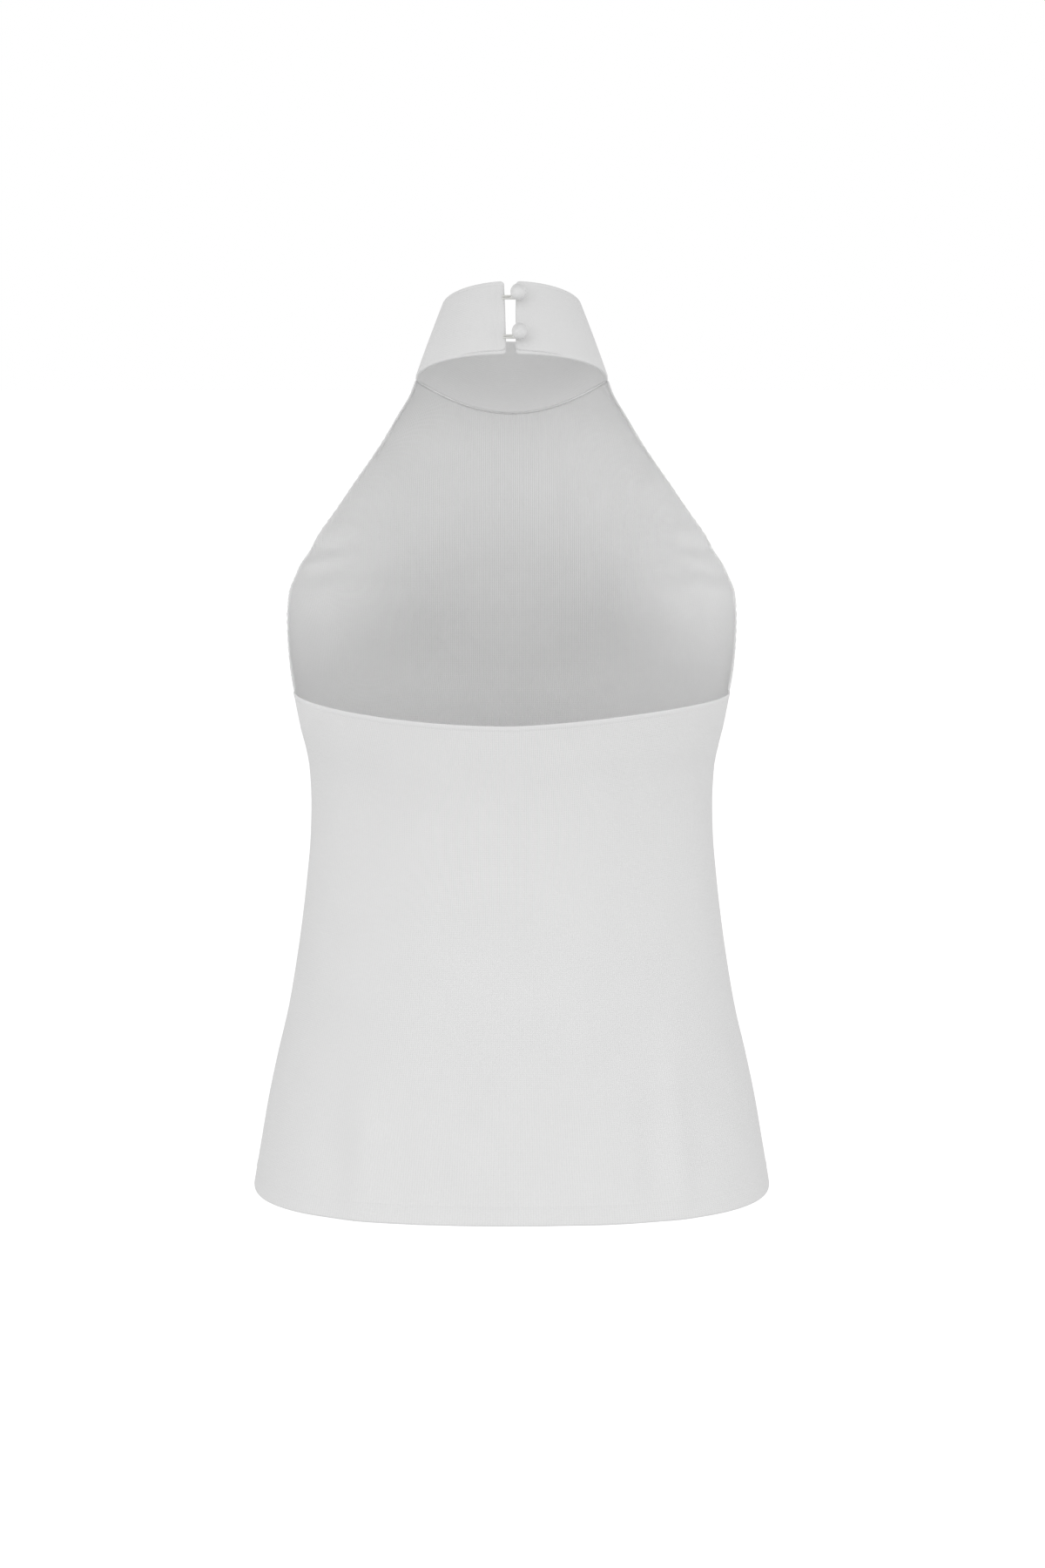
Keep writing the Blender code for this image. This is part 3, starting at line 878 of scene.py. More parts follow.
@dataclass
class KnitPanel:
    """A panel of ribbed knit: a thin wall with ribs, folds, finished edges and a turned-up hem."""

    name: str
    folds: tuple[Fold, ...]
    flat: tuple[float, float]
    flat_area: float
    ribs: int = 296
    points_a_rib: int = 2  # one on the rib and one in the furrow; the knit's bump rounds them
    rib_depth: float = 0.06 * MM
    rib_start: float = 1.2 * MM  # from an edge to where the ribs are full
    edge_round: float = 0.7 * MM  # radius of a cut edge
    hem_round: float = 1.2 * MM  # radius of the hem's fold
    least_wall: float = 0.25 * MM  # left at the very edge
    free_band: float = 3.0 * MM  # width of the finished halter and back edges
    free_wall: float = 0.4 * MM  # how much thicker they are
    band_flat: float = 0.8  # how far they flatten the ribs
    furrow: Triple = (0.4 * MM, 0.5 * MM, 0.08 * MM)  # gap, width and depth
    hem_line: tuple[float, float] = (0.7 * MM, 0.25 * MM)  # width and height of the sewn hem's line
    wall_step: float = 0.6 * MM  # over which the wall changes
    row_step: float = 6.2 * MM
    outwards: int = 1  # the order of a face's points: from -X to +X in front, reversed behind
    top_is_free: bool = False  # whether the upper edge is a finished edge and not a seam
    # In mm, the rows that draw the turned-up hem, from its fold, and the upper edge, from it.
    hem_rows: tuple[float, ...] = (0, 0.12, 0.45, 1.2, 3, 6.5, 10, 12, 12.6, 13.1, 13.7, 15, 19)
    top_rows: tuple[float, ...] = (6.5, 4.4, 3.5, 3, 2.4, 1.5, 0.7, 0.25, 0.07, 0)

    @property
    def half_columns(self) -> int:
        """Columns from the centre to one edge."""
        return self.ribs * self.points_a_rib // 2

    def row_places(self, end: float, *stretches: tuple[float, float]) -> Array:
        """Distances of the rows from the hem, which lie close at the hem and at the upper edge.

        Args:
            end: the upper edge's distance.
            stretches: where each stretch with another step between rows starts, and its step.

        Returns:
            One distance for each row.
        """
        hem, top = np.array(self.hem_rows) * MM, end - np.array(self.top_rows) * MM
        starts = [(hem[-1], self.row_step), *stretches, (top[0], 0.0)]
        between = [
            np.linspace(start, stop, math.ceil((stop - start) / step) + 1)[1:]
            for (start, step), (stop, _) in zip(starts, starts[1:])
        ]
        return np.concatenate([hem, *between, top[1:]])

    def surface(self) -> Surface:
        """The panel's outer surface."""
        raise NotImplementedError

    def top_drop(self, across: Array) -> Array:
        """How far the underarm's row is lowered, with across from -1 to 1 at the side seams."""
        return 0 * across

    def full_rows(self, halves: list, widths: list) -> Pair:
        """Lays out the panel's points from its half rows.

        The rows are lowered by the hem's dip at the bottom, and by top_drop at the underarm.

        Args:
            halves: for each row, its line from the centre to +X.
            widths: for each row, its columns' distances along that line.

        Returns:
            The rows' points from -X to +X, and their distances from the centre line.
        """
        mirror = np.array([-1.0, 1.0, 1.0])
        right = [at_lengths(half, wide) for half, wide in zip(halves, widths)]
        points = np.array([np.concatenate([row[:0:-1] * mirror, row]) for row in right])
        hem_z, top_z = RINGS[0].z, RINGS[-1].z
        height = np.clip((points[..., 2] - hem_z) / (top_z - hem_z), 0.0, 1.0)
        across = points[..., 0] / points[:, -1:, 0]
        points[..., 2] -= HEM_DIP * (1 - across**2) * (1 - height) ** 2
        points[..., 2] -= self.top_drop(across) * height**2
        return points, np.array([np.concatenate([wide[:0:-1], wide]) for wide in widths])

    def wall_and_relief(self, made: Surface) -> tuple[Array, Array, Array]:
        """Works out the panel's thickness, its edges, folds and ribs.

        Args:
            made: the panel's outer surface.

        Returns:
            Each point's wall, how far it stands out from the surface, and its ribs' share.
        """
        above = made.above[:, None] + 0 * made.beside
        below_top = made.below_top[:, None] + 0 * made.beside
        band, furrow = 0.0, 0.0
        gap, furrow_width, furrow_depth = self.furrow
        sides = (made.free_edge[:, None], made.beside)
        for free, away in (sides, (float(self.top_is_free), below_top)):
            in_band = smooth_step(1.0 - (away - self.free_band) / self.wall_step)
            band = np.maximum(band, free * in_band)
            furrow = furrow + free * bell(away, self.free_band + gap, furrow_width)
        in_hem = smooth_step((HEM_TURN + self.wall_step / 2 - above) / self.wall_step)
        wall = KNIT + self.free_wall * band + (HEM_WALL - KNIT) * in_hem
        rounded = (
            roundness(made.beside, self.edge_round)
            * roundness(below_top, self.edge_round)
            * roundness(above, self.hem_round)
        )
        line_width, line_height = self.hem_line
        relief = self.free_wall * band / 2 - wall * (1 - rounded) / 2
        relief += line_height * bell(above, HEM_TURN, line_width) - furrow_depth * furrow
        relief -= fold_depth(made.points, self.folds)
        nearest = np.minimum(np.minimum(made.beside, below_top), above)
        ribs = (1 - self.band_flat * band) * smooth_step(nearest / self.rib_start)
        return np.maximum(wall * rounded, self.least_wall), relief, ribs

    def make(self, ribs: bpy.types.NodeTree) -> Piece:
        """Builds the panel.

        Args:
            ribs: the tree that raises its ribs and relief.

        Returns:
            The finished piece.
        """
        made = self.surface()
        columns = made.points.shape[1]
        wall, relief, rib_fade = self.wall_and_relief(made)
        middle = self.half_columns
        offset = np.clip(np.arange(columns) - middle, -made.last[:, None], made.last[:, None])
        numbers = np.arange(len(made.points))[:, None] * columns + middle + offset
        piece = mesh_object(self.name, made.points, self.faces(numbers))
        wale = np.abs(np.arange(columns) - middle) / self.points_a_rib + 0 * made.beside
        for name, values in (("wale", wale), ("relief", relief), ("rib_fade", rib_fade)):
            set_values(piece, name, values)
        set_uvs(piece, np.stack([made.across, made.above[:, None] + 0 * made.across], axis=-1))
        group = piece.vertex_groups.new(name="wall")
        thickest = float(wall.max())
        for number, share in enumerate((wall / thickest).ravel().tolist()):
            group.add([number], share, "REPLACE")
        use_tree(piece, ribs, {"Rib depth": self.rib_depth})
        solidify = piece.modifiers.new("wall", "SOLIDIFY")
        solidify.thickness = thickest
        solidify.offset = -1.0
        solidify.vertex_group = group.name
        solidify.use_quality_normals = True
        settle(piece)
        merge_close(piece, 0.0001 * MM)
        return piece

    def faces(self, numbers: Array) -> list[tuple[int, ...]]:
        """Joins the rows, with triangles where columns end at an edge.

        Args:
            numbers: the rows' point numbers.

        Returns:
            The numbers of each face's points, in the order that faces it outwards.
        """
        found = []
        for low, high in zip(numbers[:-1].tolist(), numbers[1:].tolist()):
            for c in range(len(low) - 1):
                corners = list(dict.fromkeys((low[c], low[c + 1], high[c + 1], high[c])))
                if len(corners) > 2:
                    found.append(tuple(corners[:: self.outwards]))
        return found


@dataclass
class FrontPanel(KnitPanel):
    """The front, from the hem to the neck seam, with the halter edges cut in above the underarm."""

    row_step: float = 12.0 * MM
    yoke_step: float = 6.4 * MM
    creased: Triple = (0.064, 0.112, 2.7 * MM)  # above the underarm, finer rows
    seam_reach: float = 6.0 * MM  # above the underarm, over which the seam becomes a free edge
    least_slant: float = 0.35

    def half_row(self, row: Yoke) -> Array:
        """Draws half a row in fine steps, with the bust fullness of the cut.

        Args:
            row: the row's sizes.

        Returns:
            Its points, from the centre to the left edge.
        """
        t = np.sin(np.linspace(0.0, math.pi / 2, HALF_ROW_STEPS))
        x = row.edge_x * t
        z = row.edge_z + (row.centre_z - row.edge_z) * (1 - t**2)
        y = row.edge_y + (row.centre_y - row.edge_y) * (1 - t**row.power) ** row.root
        swell = bell(z, BUST_Z, np.where(z > BUST_Z, BUST_ABOVE, BUST_BELOW))
        sideways = sum(bell(x, side * BUST_X, BUST_ACROSS) for side in (-1, 1))
        return np.stack([x, y - BUST_DEPTH * swell * sideways * (1 - t**4), z], axis=1)

    def surface(self) -> Surface:
        """Draws the outer surface.

        Columns keep their share of a row below the underarm. Above it they run straight up, and the
        halter edge cuts them off.

        Returns:
            The surface.
        """
        body = [Yoke(r.z, r.half_width, 0.0, r.z, -r.front, r.corner, 1 / r.corner) for r in RINGS]
        table = np.array([*body, *YOKE])
        knots = lengths_along(table)
        underarm, end = knots[len(RINGS) - 1], knots[-1]
        low, high, fine = self.creased
        places = self.row_places(
            end,
            (underarm, self.yoke_step),
            (underarm + low, fine),
            (underarm + high, self.yoke_step),
        )
        halves = [self.half_row(Yoke(*numbers)) for numbers in smooth_rows(table, places)]
        reach = np.array([lengths_along(half)[-1] for half in halves])
        at_underarm = int(np.argmax(places >= underarm - 1e-9))
        ratios = reach / reach[at_underarm]
        ratios[at_underarm + 1 :] = np.maximum(1.0, ratios[at_underarm + 1 :])
        shares = np.linspace(0.0, 1.0, self.half_columns + 1) * reach[at_underarm]
        widths = np.minimum(shares * ratios[:, None], reach[:, None])
        last = np.argmax(widths >= reach[:, None] - 1e-9, axis=1)
        points, across = self.full_rows(halves, list(widths))
        free_edge = smooth_step((places - underarm) / self.seam_reach)
        seam = 1 - np.clip(free_edge * 4, 0.0, 1.0)
        points[:, [0, -1], 1] -= seam[:, None] * SEAM_GAP / 2
        beside = (reach[:, None] - across) * self.edge_slant(points, places)[:, None]
        return Surface(points, last, across, beside, places, end - places, free_edge)

    def edge_slant(self, points: Array, places: Array) -> Array:
        """Tells how square to its rows the panel's edge runs.

        Args:
            points: the rows' points.
            places: the rows' distances from the hem.

        Returns:
            For each row a share, 1 where the edge is square to it.
        """
        edge = unit(np.gradient(points[:, -1], places, axis=0))
        inner = points.shape[1] // 2
        along = unit(points[:, -1] - points[:, inner + inner // 8])
        return np.clip(np.linalg.norm(np.cross(edge, along), axis=1), self.least_slant, 1.0)


@dataclass
class BackPanel(KnitPanel):
    """The back, from the hem to its upper edge below the shoulder blades."""

    outwards: int = -1
    top_is_free: bool = True

    def top_drop(self, across: Array) -> Array:
        """The upper edge dips between the side seams, a little more on its left."""
        dip = BACK_EDGE_DIP * (1 - np.abs(across) ** 1.5) - BACK_EDGE_RISE
        return dip + BACK_EDGE_LEAN * across * (1 - across**2)

    def surface(self) -> Surface:
        """Draws the outer surface, whose columns keep their share of each row.

        Returns:
            The surface.
        """
        table = np.array(RINGS)
        end = lengths_along(table)[-1]
        places = self.row_places(end)
        t = np.sin(np.linspace(0.0, math.pi / 2, HALF_ROW_STEPS))
        halves = []
        for numbers in smooth_rows(table, places):
            ring = Ring(*numbers)
            y = ring.back * (1 - t**ring.corner) ** (1 / ring.corner)
            halves.append(np.stack([ring.half_width * t, y, np.full_like(t, ring.z)], axis=1))
        columns = self.half_columns + 1
        widths = [np.linspace(0.0, lengths_along(half)[-1], columns) for half in halves]
        points, across = self.full_rows(halves, widths)
        points[:, [0, -1], 1] += SEAM_GAP / 2
        last = np.full(len(points), self.half_columns)
        beside = across[:, :1] - across
        return Surface(points, last, across, beside, places, end - places, 0 * places)


# ---- the collar


@dataclass
class StandCollar:
    """The stand collar: one band folded double, with rounded edges, open at the centre back."""

    name: str = "collar_knit"
    inner_columns: int = 300
    inner_rows: int = 22
    seam_gap: float = 0.04 * MM  # the sewn edges press together, so no light shows between them
    wale_width: float = 0.7 * MM  # the collar is a finer, plain knit with no ribs
    rib_share: float = 0.1  # of a rib's height in its bump
    band_high: float = 2.9 * MM  # height of the rolled band along the base, beside the opening
    band_low: float = 0.35  # what is left of that height at the band's far end
    band_reach: float = 0.040  # how far the rolled band runs from the opening
    roll_height: float = 0.25 * MM
    # Width and depth of the furrow over the rolled band. Then place, width and depth of the faint
    # line under the top fold, and of the one where the left end is turned in.
    furrow: tuple[float, float] = (0.38 * MM, 0.9 * MM)
    fold_line: Triple = (2.6 * MM, 0.5 * MM, 0.2 * MM)
    placket: Triple = (6.0 * MM, 1.5 * MM, 0.35 * MM)
    seam_sunk: float = 0.6 * MM  # how far the neck seam's stitches are pulled into the cloth

    def edge_steps(self) -> Array:
        """Distances from an edge of the points that round it."""
        near = [0.0, 0.05, 0.2, 0.45]
        return np.array([*near, *np.arange(0.7, 3.5, 0.2), 4.0, 5.0, 6.0, 7.0]) * MM

    def places(self, whole: float, inner: int) -> Array:
        """Spaces points along a line of the collar, close at both its ends and even between.

        Args:
            whole: the line's length.
            inner: how many points are even.

        Returns:
            The points' distances along the line.
        """
        near = self.edge_steps()
        middle = np.linspace(near[-1], whole - near[-1], inner)
        return np.concatenate([near[:-1], middle, (whole - near[:-1])[::-1]])

    def ring(self, neck: Neck, start_x: float, end_x: float, slope: float) -> Array:
        """One edge of the collar, from its left end round the front to its right end.

        Args:
            neck: the edge's sizes.
            start_x: where the left end is.
            end_x: where the right end is.
            slope: how far the edge already falls, on both sides, where it passes to the front.

        Returns:
            The edge's points.
        """
        angles = np.linspace(0.0, 2 * math.pi, RING_STEPS)
        across, along = np.sin(angles), np.cos(angles)
        at_back = along > 0
        corner = np.where(at_back, neck.corner, 2.0)
        depth = np.where(at_back, neck.back, neck.front)
        share = np.abs(along) ** (2 / corner)
        fall = slope * share + (neck.fall_front - slope) * share**2
        x = neck.half_width * np.sign(across) * np.abs(across) ** (2 / corner)
        y = neck.centre_y + depth * np.sign(along) * share
        z = neck.side_z + np.where(at_back, neck.rise_back * share, -fall) + self.seam_gap
        first = int(np.argmax(x > start_x))
        last = len(x) - 1 - int(np.argmax(x[::-1] < end_x))
        points = np.stack([x, y, z], axis=1)[first : last + 1]
        points[0, 0], points[-1, 0] = start_x, end_x
        return points

    def rings(self) -> Pair:
        """The base edge and the top edge."""
        base = self.ring(NECK_BASE, LEFT_END[0], RIGHT_END[0], 0.0)
        return base, self.ring(NECK_TOP, LEFT_END[1], RIGHT_END[1], NECK_TOP.rise_back)

    def outer(self) -> tuple[Array, Array, Array, Array]:
        """Draws the outer surface.

        Returns:
            Its points in rows from the base up, and each point's distance from the base, from the
            top and from the nearer end.
        """
        edges = []
        for line in self.rings():
            whole = lengths_along(line)[-1]
            columns = self.places(whole, self.inner_columns)
            edges.append(at_lengths(line, columns))
        from_end = np.minimum(columns, whole - columns)
        base, top = edges
        outward = unit((base - [0.0, NECK_BASE.centre_y, 0.0]) * [1.0, 1.0, 0.0])
        height = np.linalg.norm(top - base, axis=1)
        corner = COLLAR_CORNER * (1 - roundness(from_end, COLLAR_CORNER))
        low, high = corner / height, 1 - corner / height
        tall = float(height.mean())
        places = self.places(tall, self.inner_rows) / tall
        shares = low + (high - low) * places[:, None]
        bulge = outward * COLLAR_BULGE * 4 * (places * (1 - places))[:, None, None]
        points = base * (1 - shares[..., None]) + top * shares[..., None] + bulge
        from_base = (shares - low) * height
        return points, from_base, (high - shares) * height, from_end + 0 * from_base

    def normals(self, points: Array) -> Array:
        """The outward normals of the outer surface."""
        return unit(np.cross(np.gradient(points, axis=0), np.gradient(points, axis=1)))

    def face_relief(self, points: Array, from_base: Array, from_top: Array) -> Array:
        """Draws the rolled band along the back's base with its furrow, the faint line under the top
        fold, and the turned-in end.

        Args:
            points: the outer surface's points.
            from_base: their distances from the base.
            from_top: their distances from the top.

        Returns:
            How far each point stands out.
        """
        at_back = points[..., 1] > 0
        reach = np.clip(1 - np.abs(points[..., 0]) / self.band_reach, 0.0, 1.0)
        band = self.band_high * (self.band_low + (1 - self.band_low) * reach)
        roll = self.roll_height * bell(from_base, band * 0.45, band * 0.4)
        width, depth = self.furrow
        shown = at_back * smooth_step(reach * 3)
        relief = shown * (roll - depth * bell(from_base, band, width))
        beside_left = np.where(at_back & (points[..., 0] > 0), points[..., 0] - LEFT_END[0], 1.0)
        for away, line in ((from_top, self.fold_line), (beside_left, self.placket)):
            place, width, depth = line
            relief -= depth * bell(away, place, width)
        return relief

    def make(self, knit: Material) -> Piece:
        """Builds the collar.

        Args:
            knit: its material.

        Returns:
            The finished piece.
        """
        points, from_base, from_top, from_end = self.outer()
        normals = self.normals(points)
        nearest = np.minimum(np.minimum(from_base, from_top), from_end)
        half = COLLAR_WALL / 2 * roundness(nearest, COLLAR_WALL / 2)
        relief = self.face_relief(points, from_base, from_top) * smooth_step(nearest / MM)
        middle = points - normals * COLLAR_WALL / 2
        outside = middle + normals * (half + relief)[..., None]
        inside = middle - normals * half[..., None]
        rows, columns = nearest.shape
        faces = grid_faces(rows, columns, closed=False)
        faces += [face[::-1] for face in grid_faces(rows, columns, False, first=rows * columns)]
        piece = mesh_object(self.name, np.concatenate([outside, inside]), faces, material=knit)
        cloth = np.stack([lengths_along(points[0]) + 0 * from_base, from_base], axis=-1)
        cloth = np.concatenate([cloth, cloth])
        set_uvs(piece, cloth)
        set_values(piece, "wale", cloth[..., 0] / self.wale_width)
        set_values(piece, "rib_fade", np.full(cloth[..., 0].size, self.rib_share))
        merge_close(piece, 0.002 * MM)
        return piece

    def seam_line(self, inside: bool) -> Pair:
        """Follows the neck seam from side to side, round the front.

        Args:
            inside: whether it runs on the collar's inner face.

        Returns:
            The seam's points and outward directions.
        """
        points, *_ = self.outer()
        at_front = points[0, :, 1] < 1.0 * MM
        line, outward = points[1][at_front], self.normals(points)[1][at_front]
        if inside:
            return line - outward * (COLLAR_WALL - self.seam_sunk), -outward
        return line - outward * self.seam_sunk, outward

    def end_line(self, end: int, height: float) -> Pair:
        """Finds a point of an end's outer line, between its rounded corners.

        Args:
            end: 0 for the left end and -1 for the right end.
            height: the point's share of the line's height.

        Returns:
            The point, and the way from the line's base to its top.
        """
        base, top = (ring[end] for ring in self.rings())
        trim = COLLAR_CORNER / np.linalg.norm(top - base)
        return base + (top - base) * (trim + (1 - 2 * trim) * height), top - base

    def place_by_right_end(self, height: float, from_end: float) -> Pair:
        """Finds a place on the outer face near the right end.

        Args:
            height: its share of the end's height.
            from_end: its distance from the end.

        Returns:
            The point, and the outward direction there.
        """
        place, upward = self.end_line(-1, height)
        bulge = COLLAR_BULGE * 4 * height * (1 - height)
        outward = unit(np.array([0.0, upward[2], -upward[1]]))
        return place + np.array([-from_end, bulge, 0.0]), outward


# ---- buttons and loops


@dataclass
class BallButton:
    """A ball button on a shank, sewn to the collar's right end."""

    name: str
    height: float  # share of the collar's height where the shank is sewn
    from_end: float
    radius: float = 5.0 * MM
    tall: float = 1.10  # the ball is slightly oval, taller than wide
    mould_line: tuple[float, float] = (0.006, 0.05)  # depth by the radius, and width in radians
    shank: float = 0.7 * MM
    shank_length: float = 2.4 * MM
    foot: float = 1.4 * MM
    foot_height: float = 0.5 * MM
    foot_bevel: float = 0.1 * MM
    flare: tuple[float, float] = (0.25 * MM, 0.5 * MM)  # from the foot, where the shank widens
    steps: int = 48
    ball_steps: int = 33

    def profile(self) -> Array:
        """Draws half the outline, with a faint mould line round the middle of the ball.

        Returns:
            Distances from the axis and from the collar, from the ball's pole to the shank's foot.
        """
        centre = self.foot_height + self.shank_length + self.radius
        last = math.pi - math.asin(self.shank / self.radius)
        angles = np.linspace(0.0, last, self.ball_steps)[1:]
        depth, width = self.mould_line
        reach = self.radius * (1 - depth * bell(angles, math.pi / 2, width))
        ball = np.stack([reach * np.sin(angles), centre + reach * np.cos(angles)], axis=1)
        neck = self.foot_height + self.flare[0]
        shank = [(self.shank, neck + self.flare[1]), (self.shank * 1.25, neck)]
        foot = [(self.foot, self.foot_height), (self.foot, self.foot_bevel)]
        return np.array([*ball, *shank, *foot, (self.foot * 0.8, 0.0)])

    def make(self, collar: StandCollar, resin: Material) -> Piece:
        """Turns the profile and stands the button on the collar.

        Args:
            collar: the collar that carries it.
            resin: its material.

        Returns:
            The finished piece.
        """
        foot, normal = collar.place_by_right_end(self.height, self.from_end)
        foot = foot + normal * SEAM_GAP
        right = np.array([1.0, 0.0, 0.0])
        upward = np.cross(right, -normal) * self.tall
        pole = foot + normal * (self.foot_height + self.shank_length + 2 * self.radius)
        turns = turns_of(self.steps)[:, None]
        side = right * np.cos(turns) + upward * np.sin(turns)
        outline = self.profile()
        rings = foot + normal * outline[:, None, 1:] + side * outline[:, :1, None]
        points = np.concatenate([[pole], rings.reshape(-1, 3), [foot]])
        faces = grid_faces(len(outline), self.steps, closed=True, first=1)
        final = 1 + (len(outline) - 1) * self.steps
        for s in range(self.steps):
            after = (s + 1) % self.steps
            faces.append((0, 1 + s, 1 + after))
            faces.append((final + after, final + s, len(points) - 1))
        return mesh_object(self.name, points, faces, material=resin)


@dataclass
class ElasticLoop:
    """An elastic cord sewn into the collar's left end and passed round a button's shank."""

    name: str
    button: BallButton
    collar: StandCollar
    cord: float = 0.7 * MM  # radius
    legs: float = 1.6 * MM  # distance between the legs where they leave the collar
    lead: float = 2.6 * MM  # how far they run straight out of it
    legs_out: float = 0.7  # how far their middle lies outside the collar's face, by the radius
    last_hold: float = 0.6 * MM  # from the collar's end to where they still lie on it
    sewn_in: float = 2.0 * MM  # how far inside the collar's end they are sewn down
    sewn_down: float = 1.1  # how far they dip there, by the radius
    tack_out: float = 0.55  # how far the tacks lie outside the legs' middle, by the radius
    rounded_steps: float = 3.0  # steps of the path in which the cord's cut end is rounded
    sides: int = 16
    path_steps: int = 90

    @property
    def normal(self) -> Array:
        """The collar's outward direction at the button."""
        return self.collar.place_by_right_end(self.button.height, self.button.from_end)[1]

    def path(self) -> Array:
        """Leads the cord along the left end's outer face, over the gap, round the shank and back.

        Returns:
            The points of its middle line.
        """
        button, normal = self.button, self.normal
        point, _ = self.collar.place_by_right_end(button.height, button.from_end)
        shank = point + normal * (SEAM_GAP + button.foot_height + button.shank_length / 2)
        leftward = np.array([1.0, 0.0, 0.0])
        upward = unit(np.cross(leftward, normal))
        upward *= math.copysign(1.0, upward[2])
        end = self.collar.end_line(0, button.height)[0] + normal * self.cord * self.legs_out
        bend = button.shank * button.tall + self.cord + SEAM_GAP
        round_shank = [
            shank + (-leftward * math.sin(a) + upward * math.cos(a)) * bend
            for a in np.linspace(0.0, math.pi, 13)
        ]
        legs = []
        for side in (1, -1):
            over = end + upward * (side * self.legs / 2)
            sewn = over + leftward * self.sewn_in - normal * self.cord * self.sewn_down
            held = over + leftward * self.last_hold
            legs.append([sewn, held, over - leftward * self.lead])
        corners = np.array([*legs[0], *round_shank, *legs[1][::-1]])
        places = np.linspace(0.0, lengths_along(corners)[-1], self.path_steps)
        return smooth_rows(corners, places)

    def make(self, elastic: Material) -> Piece:
        """Sweeps the cord along its path.

        Args:
            elastic: its material.

        Returns:
            The finished piece.
        """
        path = self.path()
        along = unit(np.gradient(path, axis=0))
        beside = unit(np.cross(along, self.normal))
        above = unit(np.cross(beside, along))
        turns = turns_of(self.sides)[:, None]
        circle = beside[:, None] * np.cos(turns) + above[:, None] * np.sin(turns)
        count = np.arange(len(path))
        ends = np.minimum(count, count[::-1])
        reach = self.cord * np.maximum(roundness(ends, self.rounded_steps), 0.05)
        faces = grid_faces(len(path), self.sides, closed=True)
        first_ring = range(self.sides)
        last_ring = range((len(path) - 1) * self.sides, len(path) * self.sides)
        faces += [tuple(first_ring), tuple(last_ring)[::-1]]
        points = path[:, None] + circle * reach[:, None, None]
        piece = mesh_object(self.name, points, faces, material=elastic)
        lengths = lengths_along(path)[:, None] + np.zeros(self.sides)
        round_it = np.abs(np.arange(self.sides) / self.sides * 2 - 1) + 0 * lengths
        set_uvs(piece, np.stack([round_it, lengths], axis=-1))
        return piece

    def tack_line(self) -> Pair:
        """Follows the stitches that hold the legs on the collar.

        Returns:
            Their points and outward directions.
        """
        path, normal = self.path(), self.normal
        points = np.array([path[2], path[-3]]) + normal * self.cord * self.tack_out
        return points, np.array([normal, normal])


# ---- seams


@dataclass
class Stitching:
    """A row of stitches along a seam."""

    name: str
    spacing: float = 1.5 * MM
    length: float = 0.9 * MM
    width: float = 0.4 * MM
    height: float = 0.45 * MM

    def make(self, lines: list[Pair], tree: bpy.types.NodeTree) -> Piece:
        """Builds the stitches.

        Args:
            lines: for each stretch, its points and its outward directions.
            tree: the tree that sets stitches along a line.

        Returns:
            The finished piece.
        """
        edges, first = [], 0
        for points, _ in lines:
            edges += [(first + i, first + i + 1) for i in range(len(points) - 1)]
            first += len(points)
        piece = mesh_object(self.name, np.concatenate([p for p, _ in lines]), [], edges)
        set_values(piece, "outward", np.concatenate([o for _, o in lines]), "vector")
        names = ("Spacing", "Length", "Width", "Height")
        use_tree(piece, tree, {name: getattr(self, name.lower()) for name in names})
        return settle(piece)


def side_seams(front: FrontPanel) -> list[Pair]:
    """Follows both side seams from the hem to the underarm.

    Args:
        front: the panel whose edges they join.

    Returns:
        Each seam's points and outward directions.
    """
    made = front.surface()
    below = made.free_edge < 0.01
    lines = []
    for column, side in ((0, -1.0), (-1, 1.0)):
        points = made.points[below][2:, column]
        points[:, 1] = 0.0
        points[:, 0] -= side * SIDE_STITCH_SUNK
        lines.append((points, np.tile([side, 0.0, 0.0], (len(points), 1))))
    return lines


# ---- studio


class Lamp(NamedTuple):
    """A square studio light: where it stands, what it faces, its width in metres, its power in
    watts and the angle of its cone in degrees."""

    name: str
    place: Triple
    aim: Triple
    size: float
    power: float
    spread: float


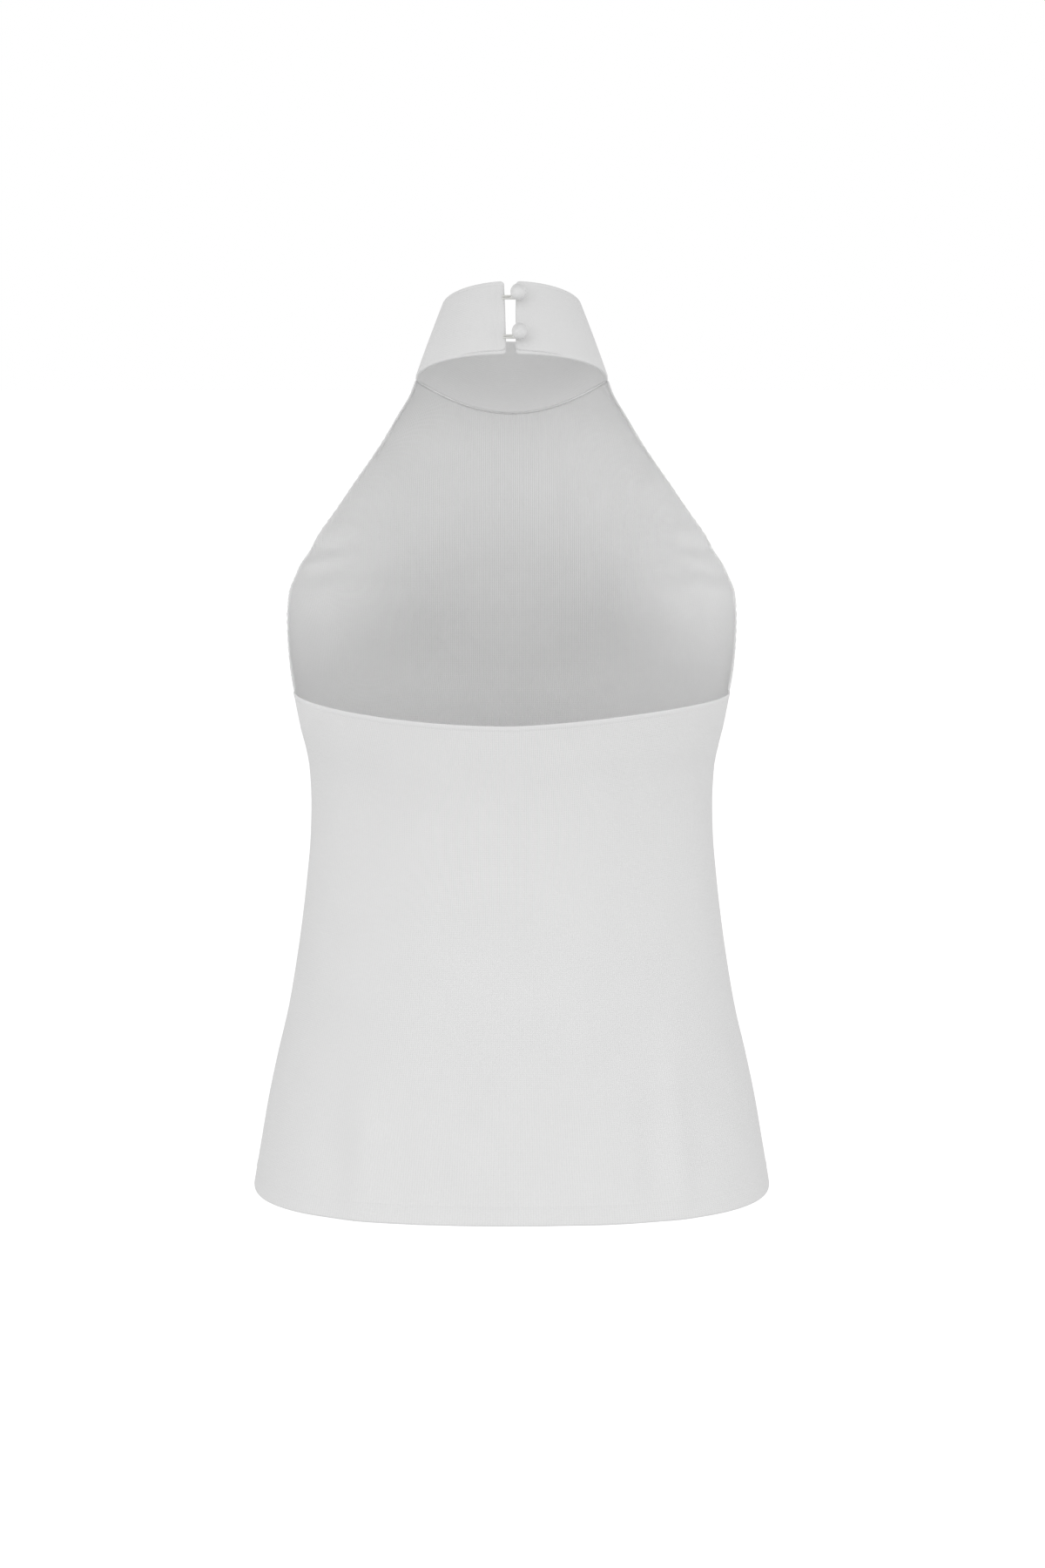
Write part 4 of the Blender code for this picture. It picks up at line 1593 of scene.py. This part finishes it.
@dataclass
class Studio:
    """The camera at the photograph's angle, white paper all round, and soft studio light."""

    camera_at: Triple = (0.0, 2.3, 0.05)
    looks_at: Triple = (0.0, 0.0, -0.27)
    lens: float = 79.39
    shift: float = 12.3 / 1800
    floor_z: float = -0.76
    floor_reach: float = 30.0
    sky_all_round: float = 0.44
    sky_at_horizon: float = 0.475
    sky_behind: float = 0.08
    sky_above_behind: float = 0.72
    lamps: tuple[Lamp, ...] = (
        Lamp("key", (0.9, 1.6, 0.45), (0.0, 0.0, -0.1), 0.30, 1.05, 180),
        Lamp("left_fill", (1.6, 1.0, 0.2), (0.0, -0.05, -0.12), 0.8, 1.6, 180),
        Lamp("right_fill", (-1.6, 1.0, 0.2), (0.0, -0.05, -0.12), 0.8, 2.0, 180),
        Lamp("left_inside", (0.45, 0.10, -0.09), (-0.12, -0.06, -0.12), 0.16, 0.0205, 24),
        Lamp("right_inside", (-0.45, 0.10, -0.09), (0.12, -0.06, -0.12), 0.16, 0.0150, 24),
        Lamp("hem_light", (0.0, 1.5, -0.9), (0.0, 0.1, -0.62), 1.0, 0.26, 45),
    )

    def make_camera(self) -> None:
        """Adds the scene's camera behind the top, tilted slightly down."""
        camera = bpy.data.cameras.new("camera")
        camera.lens = self.lens
        camera.sensor_width = 36.0
        camera.shift_x = self.shift
        camera.clip_start = 0.05
        holder = new_object("camera", camera)
        aim_object(holder, self.camera_at, self.looks_at)
        bpy.context.scene.camera = holder

    def make_light(self, lamp: Lamp) -> None:
        """Adds one soft square light.

        Args:
            lamp: its sizes and place.
        """
        light = bpy.data.lights.new(lamp.name, "AREA")
        light.shape = "SQUARE"
        light.size = lamp.size
        light.energy = lamp.power
        light.spread = math.radians(lamp.spread)
        holder = new_object(lamp.name, light)
        holder.visible_camera = False
        aim_object(holder, lamp.place, lamp.aim)

    def make_world(self) -> None:
        """White all round for the camera. Its light is stronger at the horizon and from behind."""
        world = bpy.data.worlds.new("white_studio")
        world.use_nodes = True
        nodes = Nodes(world.node_tree)
        way = nodes.add("ShaderNodeTexCoord").outputs["Generated"]
        parts = nodes.add("ShaderNodeSeparateXYZ", {0: way}).outputs
        backward, upward = (nodes.calc("MAXIMUM", parts[i], 0.0) for i in (1, 2))
        steep = nodes.calc("MULTIPLY", parts[2], parts[2])
        flattest = self.sky_all_round + self.sky_at_horizon
        level = nodes.calc("MULTIPLY_ADD", steep, -self.sky_at_horizon, flattest)
        gain = nodes.calc("MULTIPLY_ADD", upward, self.sky_above_behind, self.sky_behind)
        sky = nodes.calc("MULTIPLY_ADD", backward, gain, level)
        seen = nodes.add("ShaderNodeLightPath").outputs["Is Camera Ray"]
        strength = nodes.out("ShaderNodeMix", {0: seen, 2: sky, 3: 1.0}, data_type="FLOAT")
        shader = world.node_tree.nodes["Background"]
        nodes.feed(shader, {"Color": WHITE, "Strength": strength})
        bpy.context.scene.world = world

    def make_floor(self) -> None:
        """Adds the paper floor, well below the hem."""
        corners = np.array([(-1, -1), (1, -1), (1, 1), (-1, 1)]) * self.floor_reach
        points = np.column_stack([corners, np.full(4, self.floor_z)])
        paper = PaperSweep().material()
        floor = mesh_object("paper_floor", points, [(0, 1, 2, 3)], material=paper)
        floor.visible_diffuse = False
        floor.visible_shadow = False

    def make(self) -> None:
        """Sets up the whole studio."""
        self.make_camera()
        self.make_world()
        self.make_floor()
        for lamp in self.lamps:
            self.make_light(lamp)
        view = bpy.context.scene.view_settings
        view.view_transform = "Standard"
        view.look = "None"


# ---- the whole top


def main() -> None:
    """Builds the top's pieces in order, and the studio."""
    logging.basicConfig(level=logging.INFO, format="%(name)s %(message)s")
    Studio().make()
    knit = RibKnit().material()
    resin = PearlResin().material()
    elastic = CoveredElastic().material()
    ribs, stitches = rib_tree(knit), stitch_tree(SewingThread().material())

    collar = StandCollar()
    place_on_frame(collar.make(knit), "collar_band")
    front = FrontPanel("front_panel_knit", FRONT_FOLDS, flat=(0.46, 0.60), flat_area=0.205)
    place_on_frame(front.make(ribs), "front_panel")
    back = BackPanel("back_panel_knit", BACK_FOLDS, flat=(0.46, 0.345), flat_area=0.136)
    place_on_frame(back.make(ribs), "back_panel")

    tack_lines = []
    for place, height, from_end in (("upper", 0.797, 1.6 * MM), ("lower", 0.189, 2.5 * MM)):
        button = BallButton(f"ball_button_{place}", height, from_end)
        place_on_frame(button.make(collar, resin), f"button_{place}")
        loop = ElasticLoop(f"elastic_loop_{place}", button, collar)
        place_on_frame(loop.make(elastic), f"loop_{place}")
        tack_lines.append(loop.tack_line())

    neck_lines = [collar.seam_line(inside=False), collar.seam_line(inside=True)]
    neck_seam = Stitching("neck_seam_stitches").make(neck_lines, stitches)
    place_on_frame(neck_seam, None)
    tacks = Stitching("loop_tack_stitches", spacing=0.8 * MM, width=0.35 * MM)
    place_on_frame(tacks.make(tack_lines, stitches), None)
    sides = Stitching("side_seam_stitches", spacing=2.2 * MM, length=1.7 * MM, width=0.5 * MM)
    place_on_frame(sides.make(side_seams(front), stitches), None)


if __name__ == "__main__":
    main()
